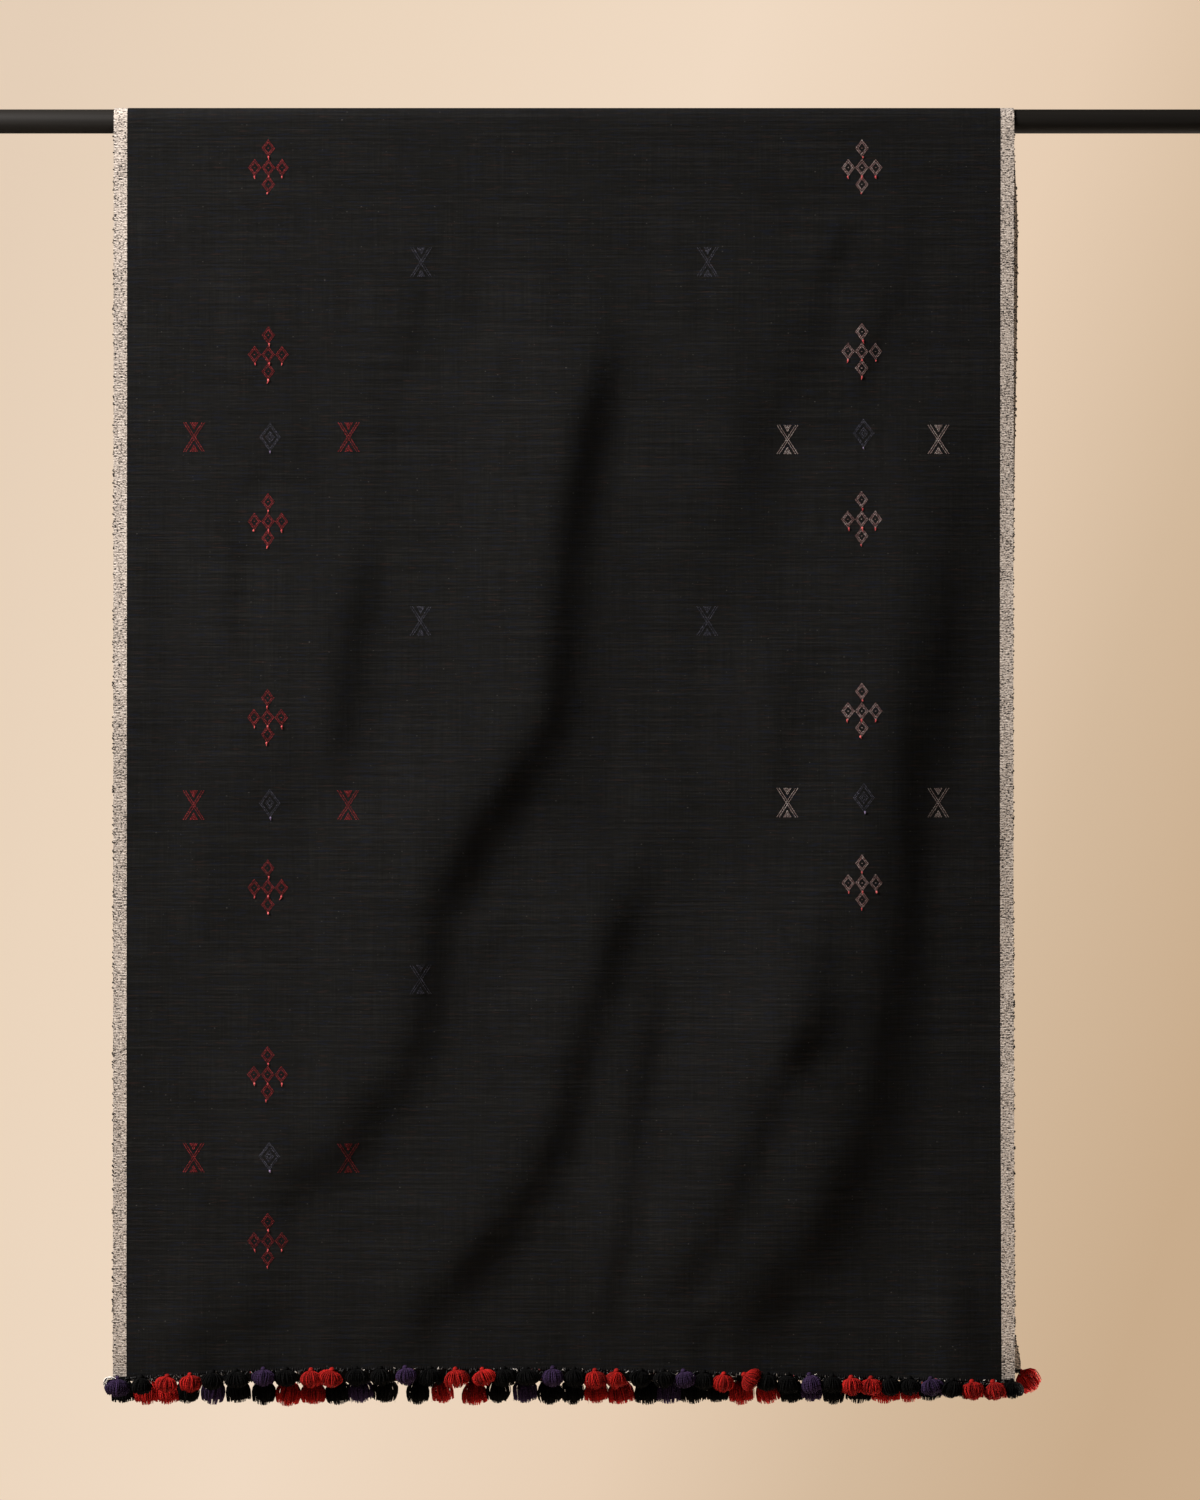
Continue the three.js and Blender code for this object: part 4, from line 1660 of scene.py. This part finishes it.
        # painted light: lighter shades for tassels that hang in shade
        shades = shades + (row.painted_light_lift_most if number in row.painted_lit_tassels else row.painted_light_lift)
        bundle.strands(self.hang(paths, place, lean, nod), radii, shades)
        paths, radii = self.core(scale)
        bundle.strands(self.hang(paths, place, lean, nod), radii, np.full(len(paths), 0.1))
        paths, radii = self.stray(rng, scale)
        bundle.strands(self.hang(paths, place, lean, nod), radii, rng.uniform(0.2, 1.0, len(paths)))
        knob = ball(self.head * rng.uniform(0.92, 1.06), 0.95, 12, 8)
        bundle.copies(knob, np.eye(3)[None], place[None], np.array([rng.uniform(0.2, 0.6)]))
        turns = np.linspace(0.0, FULL_TURN, 9)
        circle = np.stack([self.tie_radius * np.cos(turns), self.tie_radius * np.sin(turns)], -1)
        for level in self.ties:
            ring = self.hang(np.insert(circle, 2, level, -1)[None], place, lean, nod)
            bundle.strands(ring, np.full((1, 9), self.tie_thickness), rng.uniform(0, 1, 1), capped=False)

    def build(self) -> list[Shape]:
        """Ties the whole row.

        Returns:
            The pieces, one for each colour.
        """
        rng = np.random.default_rng(self.seed + self.row.fall.side.value)
        side = self.row.fall.side.word
        bundles = {yarn: Bundle() for yarn in Yarn}
        for number in range(len(self.row.places)):
            self.tie(bundles[self.row.colour(number)], number, rng)
        made = []
        for yarn, finish in self.finishes().items():
            stem = f"{side}_fringe_black" if yarn is Yarn.BLACK else f"{side}_{yarn.value}_"
            nodes = sorted(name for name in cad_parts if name.startswith(stem))
            shape = bundles[yarn].make(f"{side}_tassels_{yarn.value}")
            made.append(finish_piece(shape, finish.make(), nodes))
        return made


# The small yarns at the edges


@dataclass
class EdgeYarns:
    """The black weft that turns in small loops at both selvedges, and the loose ends at a corner."""

    loops: int = 210
    edge: float = 354.9
    heights: Span = (6.0, 976.0)
    sink: float = 0.4
    loop_reach: Span = (0.35, 1.4)
    loop_half_heights: Span = (0.35, 0.9)
    loop_radii: Span = (0.26, 0.44)
    corner: float = -352.0
    end_radii: tuple[float, float, float] = (0.30, 0.28, 0.16)
    seed: int = 43

    def loop_bundle(self) -> Bundle:
        """The weft loops down both edges of both falls.

        Returns:
            The bundle of loops.
        """
        rng = np.random.default_rng(self.seed)
        t = np.linspace(-1.0, 1.0, 6)
        made = Bundle()
        for fall in (FRONT, BACK):
            for side in (-1.0, 1.0):
                z = -np.sort(rng.uniform(*self.heights, self.loops))
                places, axes = fall.frames(np.full(self.loops, side * self.edge), z)
                reach = rng.uniform(*self.loop_reach, self.loops)
                half = rng.uniform(*self.loop_half_heights, self.loops)
                out = side * (1.0 - t**4) * reach[:, None] - side * self.sink
                down = half[:, None] * t
                paths = (places[:, None] + axes[:, None, 0] * out[..., None]
                         + axes[:, None, 2] * down[..., None]
                         + axes[:, None, 1] * (0.55 * t)[None, :, None])
                radii = np.broadcast_to(rng.uniform(*self.loop_radii, self.loops)[:, None], down.shape)
                made.strands(paths, radii, rng.uniform(0.0, 1.0, self.loops))
        return made

    def stray_bundle(self, count: int, seed: int) -> Bundle:
        """Loose ends that curl at the front fall's lower left corner.

        Args:
            count: how many.
            seed: what makes them uneven.

        Returns:
            The bundle of ends.
        """
        rng = np.random.default_rng(seed)
        corner = np.array([self.corner])
        root = FRONT.at(corner, FRONT.hem_height(corner))[0]
        t = np.linspace(0.0, 1.0, 12)
        radii = np.interp(t, [0, 0.8, 1.0], self.end_radii)[None]
        made = Bundle()
        for _ in range(count):
            first = rng.uniform(0.1, 0.6)
            angle = first + (rng.uniform(3.5, 4.7) - first) * t
            centre = root - np.array([rng.uniform(3.2, 5.8), rng.uniform(3.0, 7.0), rng.uniform(2.2, 5.0)])
            across = rng.uniform(3.4, 5.4) * np.cos(angle)
            out = rng.uniform(-2.0, 2.0) * t
            path = np.stack([across, out, rng.uniform(2.8, 4.4) * np.sin(angle)], -1) + centre
            made.strands(path[None], radii, rng.uniform(0.2, 1.0, 1))
        return made

    def build(self) -> list[Shape]:
        """Makes the loops and the loose ends.

        Returns:
            The three pieces.
        """
        black = YarnFinish("black edge yarn", (0.003, 0.003, 0.003), (0.014, 0.013, 0.013), 0.0, 0.06).make()
        white = YarnFinish("undyed yarn", (0.40, 0.36, 0.32), (0.78, 0.73, 0.68)).make()
        return [
            finish_piece(self.loop_bundle().make("selvedge_loops"), black),
            finish_piece(self.stray_bundle(6, 3).make("corner_ends_undyed"), white),
            finish_piece(self.stray_bundle(5, 8).make("corner_ends_black"), black),
        ]


# The rod


@dataclass
class Rod:
    """The round tube that the shawl hangs over, with a plug in each end."""

    radius: float = 9.5
    length: float = 1100.0
    wall: float = 1.2
    recess: float = 0.4
    sides: int = 96
    broken_edge: float = 0.35
    broken_edge_steps: int = 3
    sharp_angle: float = 50.0
    crisp_angle: float = 35.0

    def build(self) -> Shape:
        """Draws the tube, sinks the plugs and breaks its edges.

        Returns:
            The rod.
        """
        deselect_all()
        bpy.ops.mesh.primitive_cylinder_add(
            vertices=self.sides,
            radius=self.radius * MM,
            depth=self.length * MM,
            rotation=(0.0, math.pi / 2.0, 0.0),
        )
        rod = bpy.context.active_object
        rod.name = rod.data.name = "hanging_rod"
        bpy.ops.object.transform_apply(location=False, rotation=True, scale=False)
        for end in (-1.0, 1.0):
            bpy.ops.object.mode_set(mode="OBJECT")
            for face in rod.data.polygons:
                face.select = face.normal.x * end > 0.9
            for part in (*rod.data.edges, *rod.data.vertices):
                part.select = False
            bpy.ops.object.mode_set(mode="EDIT")
            bpy.ops.mesh.select_mode(type="FACE")
            bpy.ops.mesh.inset(thickness=self.wall * MM, depth=0.0)
            inward = (-end * self.recess * MM, 0.0, 0.0)
            bpy.ops.mesh.extrude_region_move(TRANSFORM_OT_translate={"value": inward})
        bpy.ops.object.mode_set(mode="OBJECT")
        bevel = rod.modifiers.new("broken edges", "BEVEL")
        bevel.width = self.broken_edge * MM
        bevel.segments = self.broken_edge_steps
        bevel.limit_method = "ANGLE"
        bevel.angle_limit = math.radians(self.sharp_angle)
        apply_modifiers(rod)
        bpy.ops.object.shade_smooth_by_angle(angle=math.radians(self.crisp_angle))
        return finish_piece(rod, RodFinish().make(), ["rod"])


# The studio


@dataclass(frozen=True)
class SoftLight:
    """A square soft light that faces the shawl, by its place, its width and its power in watts."""

    name: str
    place: tuple[float, float, float]
    size: float
    power: float
    tint: Colour

    def hang(self, target: tuple[float, float, float]) -> None:
        """Hangs the light.

        Args:
            target: the point that it faces.
        """
        data = bpy.data.lights.new(self.name, "AREA")
        data.energy, data.size, data.color = self.power, self.size, self.tint
        lamp = bpy.data.objects.new(self.name, data)
        lamp.location = self.place
        x, y, z = np.array(target) - np.array(self.place)
        lamp.rotation_euler = (math.atan2(math.hypot(x, y), -z), 0.0, math.atan2(-x, y))
        bpy.context.scene.collection.objects.link(lamp)


@dataclass
class Studio:
    """The camera square on to the front fall, soft light from the upper left, and a pale floor."""

    distance: float = 5.0
    centre: tuple[float, float, float] = (0.0284, -0.024, -0.4966)
    height: float = 1.1795
    sensor: float = 24.0
    # the backdrop's colours along its slant; the darker end to the lower right is painted shade
    backdrop: tuple[tuple[float, tuple[int, int, int]], ...] = (
        (0.0, (229, 207, 184)), (0.19, (235, 213, 189)), (0.45, (240, 218, 195)), (0.68, (231, 206, 180)),
        (0.84, (212, 186, 157)), (1.0, (201, 172, 140)),
    )
    slant: tuple[float, float, float] = (1.0, 0.0, -0.35)
    slant_ends: Point = (-0.125, 0.115)
    ambient: Colour = (1.0, 0.88, 0.64)
    ambient_strength: float = 0.070
    lights: tuple[SoftLight, ...] = (
        SoftLight("key", (-2.25, -1.05, 1.2), 1.0, 262.0, (1.0, 0.98, 0.975)),
        SoftLight("fill", (2.4, -4.2, 0.3), 2.2, 4.0, (1.0, 0.94, 0.86)),
        SoftLight("back fill", (3.0, 1.6, -0.9), 1.5, 390.0, (1.0, 0.92, 0.84)),
    )
    floor_level: float = -1.75
    floor_radius: float = 1.3
    floor_thickness: float = 0.02

    def camera(self) -> None:
        """Places the camera and makes it the scene's own."""
        data = bpy.data.cameras.new("portrait")
        data.sensor_fit = "VERTICAL"
        data.sensor_height = self.sensor
        data.lens = self.sensor * self.distance / self.height
        camera = bpy.data.objects.new("portrait", data)
        x, y, z = self.centre
        camera.location = (x, y - self.distance, z)
        camera.rotation_euler = (math.pi / 2.0, 0.0, 0.0)
        bpy.context.scene.collection.objects.link(camera)
        bpy.context.scene.camera = camera

    def surroundings(self) -> None:
        """A plain warm backdrop, with painted shade that makes it a little darker to the lower right, that
        lights the scene softly.
        """
        world = bpy.data.worlds.new("warm backdrop")
        bpy.context.scene.world = world
        world.use_nodes = True
        nodes, links = world.node_tree.nodes, world.node_tree.links
        seen = nodes["Background"]
        way = nodes.new("ShaderNodeTexCoord")
        slant = nodes.new("ShaderNodeVectorMath")
        slant.operation = "DOT_PRODUCT"
        slant.inputs[1].default_value = self.slant
        links.new(way.outputs["Generated"], slant.inputs[0])
        share = nodes.new("ShaderNodeMapRange")
        share.inputs["From Min"].default_value, share.inputs["From Max"].default_value = self.slant_ends
        links.new(slant.outputs["Value"], share.inputs["Value"])
        ramp = nodes.new("ShaderNodeValToRGB")
        links.new(share.outputs["Result"], ramp.inputs["Fac"])
        set_stops(ramp, [(at, srgb(*colour)) for at, colour in self.backdrop])
        links.new(ramp.outputs["Color"], seen.inputs["Color"])
        felt = nodes.new("ShaderNodeBackground")
        felt.inputs["Color"].default_value = (*self.ambient, 1.0)
        felt.inputs["Strength"].default_value = self.ambient_strength
        path = nodes.new("ShaderNodeLightPath")
        mix = nodes.new("ShaderNodeMixShader")
        links.new(path.outputs["Is Camera Ray"], mix.inputs["Fac"])
        links.new(felt.outputs["Background"], mix.inputs[1])
        links.new(seen.outputs["Background"], mix.inputs[2])
        links.new(mix.outputs["Shader"], nodes["World Output"].inputs["Surface"])

    def floor(self) -> None:
        """A pale round floor well below the hem."""
        deselect_all()
        middle = self.floor_level - self.floor_thickness / 2.0
        bpy.ops.mesh.primitive_cylinder_add(
            vertices=128, radius=self.floor_radius, depth=self.floor_thickness, location=(0.0, 0.0, middle)
        )
        floor = bpy.context.active_object
        floor.name = "floor"
        bpy.ops.object.transform_apply(location=True, rotation=False, scale=False)
        floor.data.materials.append(FloorFinish().make())

    def build(self) -> None:
        """Sets up the camera, the backdrop, the floor and the lights."""
        self.camera()
        self.surroundings()
        self.floor()
        for light in self.lights:
            light.hang(self.centre)
        bpy.context.scene.view_settings.view_transform = "Standard"


def main() -> None:
    """Builds the shawl, its rod and the studio."""
    logging.basicConfig(level=logging.INFO, format="%(message)s")
    cloth = Cloth()
    strips = cloth.build()
    trimmings = WovenMotifs(cloth).build()
    for row in TASSEL_ROWS:
        trimmings += HemBand(row).build()
        trimmings += Tassels(row).build()
    trimmings += EdgeYarns().build()
    Rod().build()
    Studio().build()


if __name__ == "__main__":
    main()
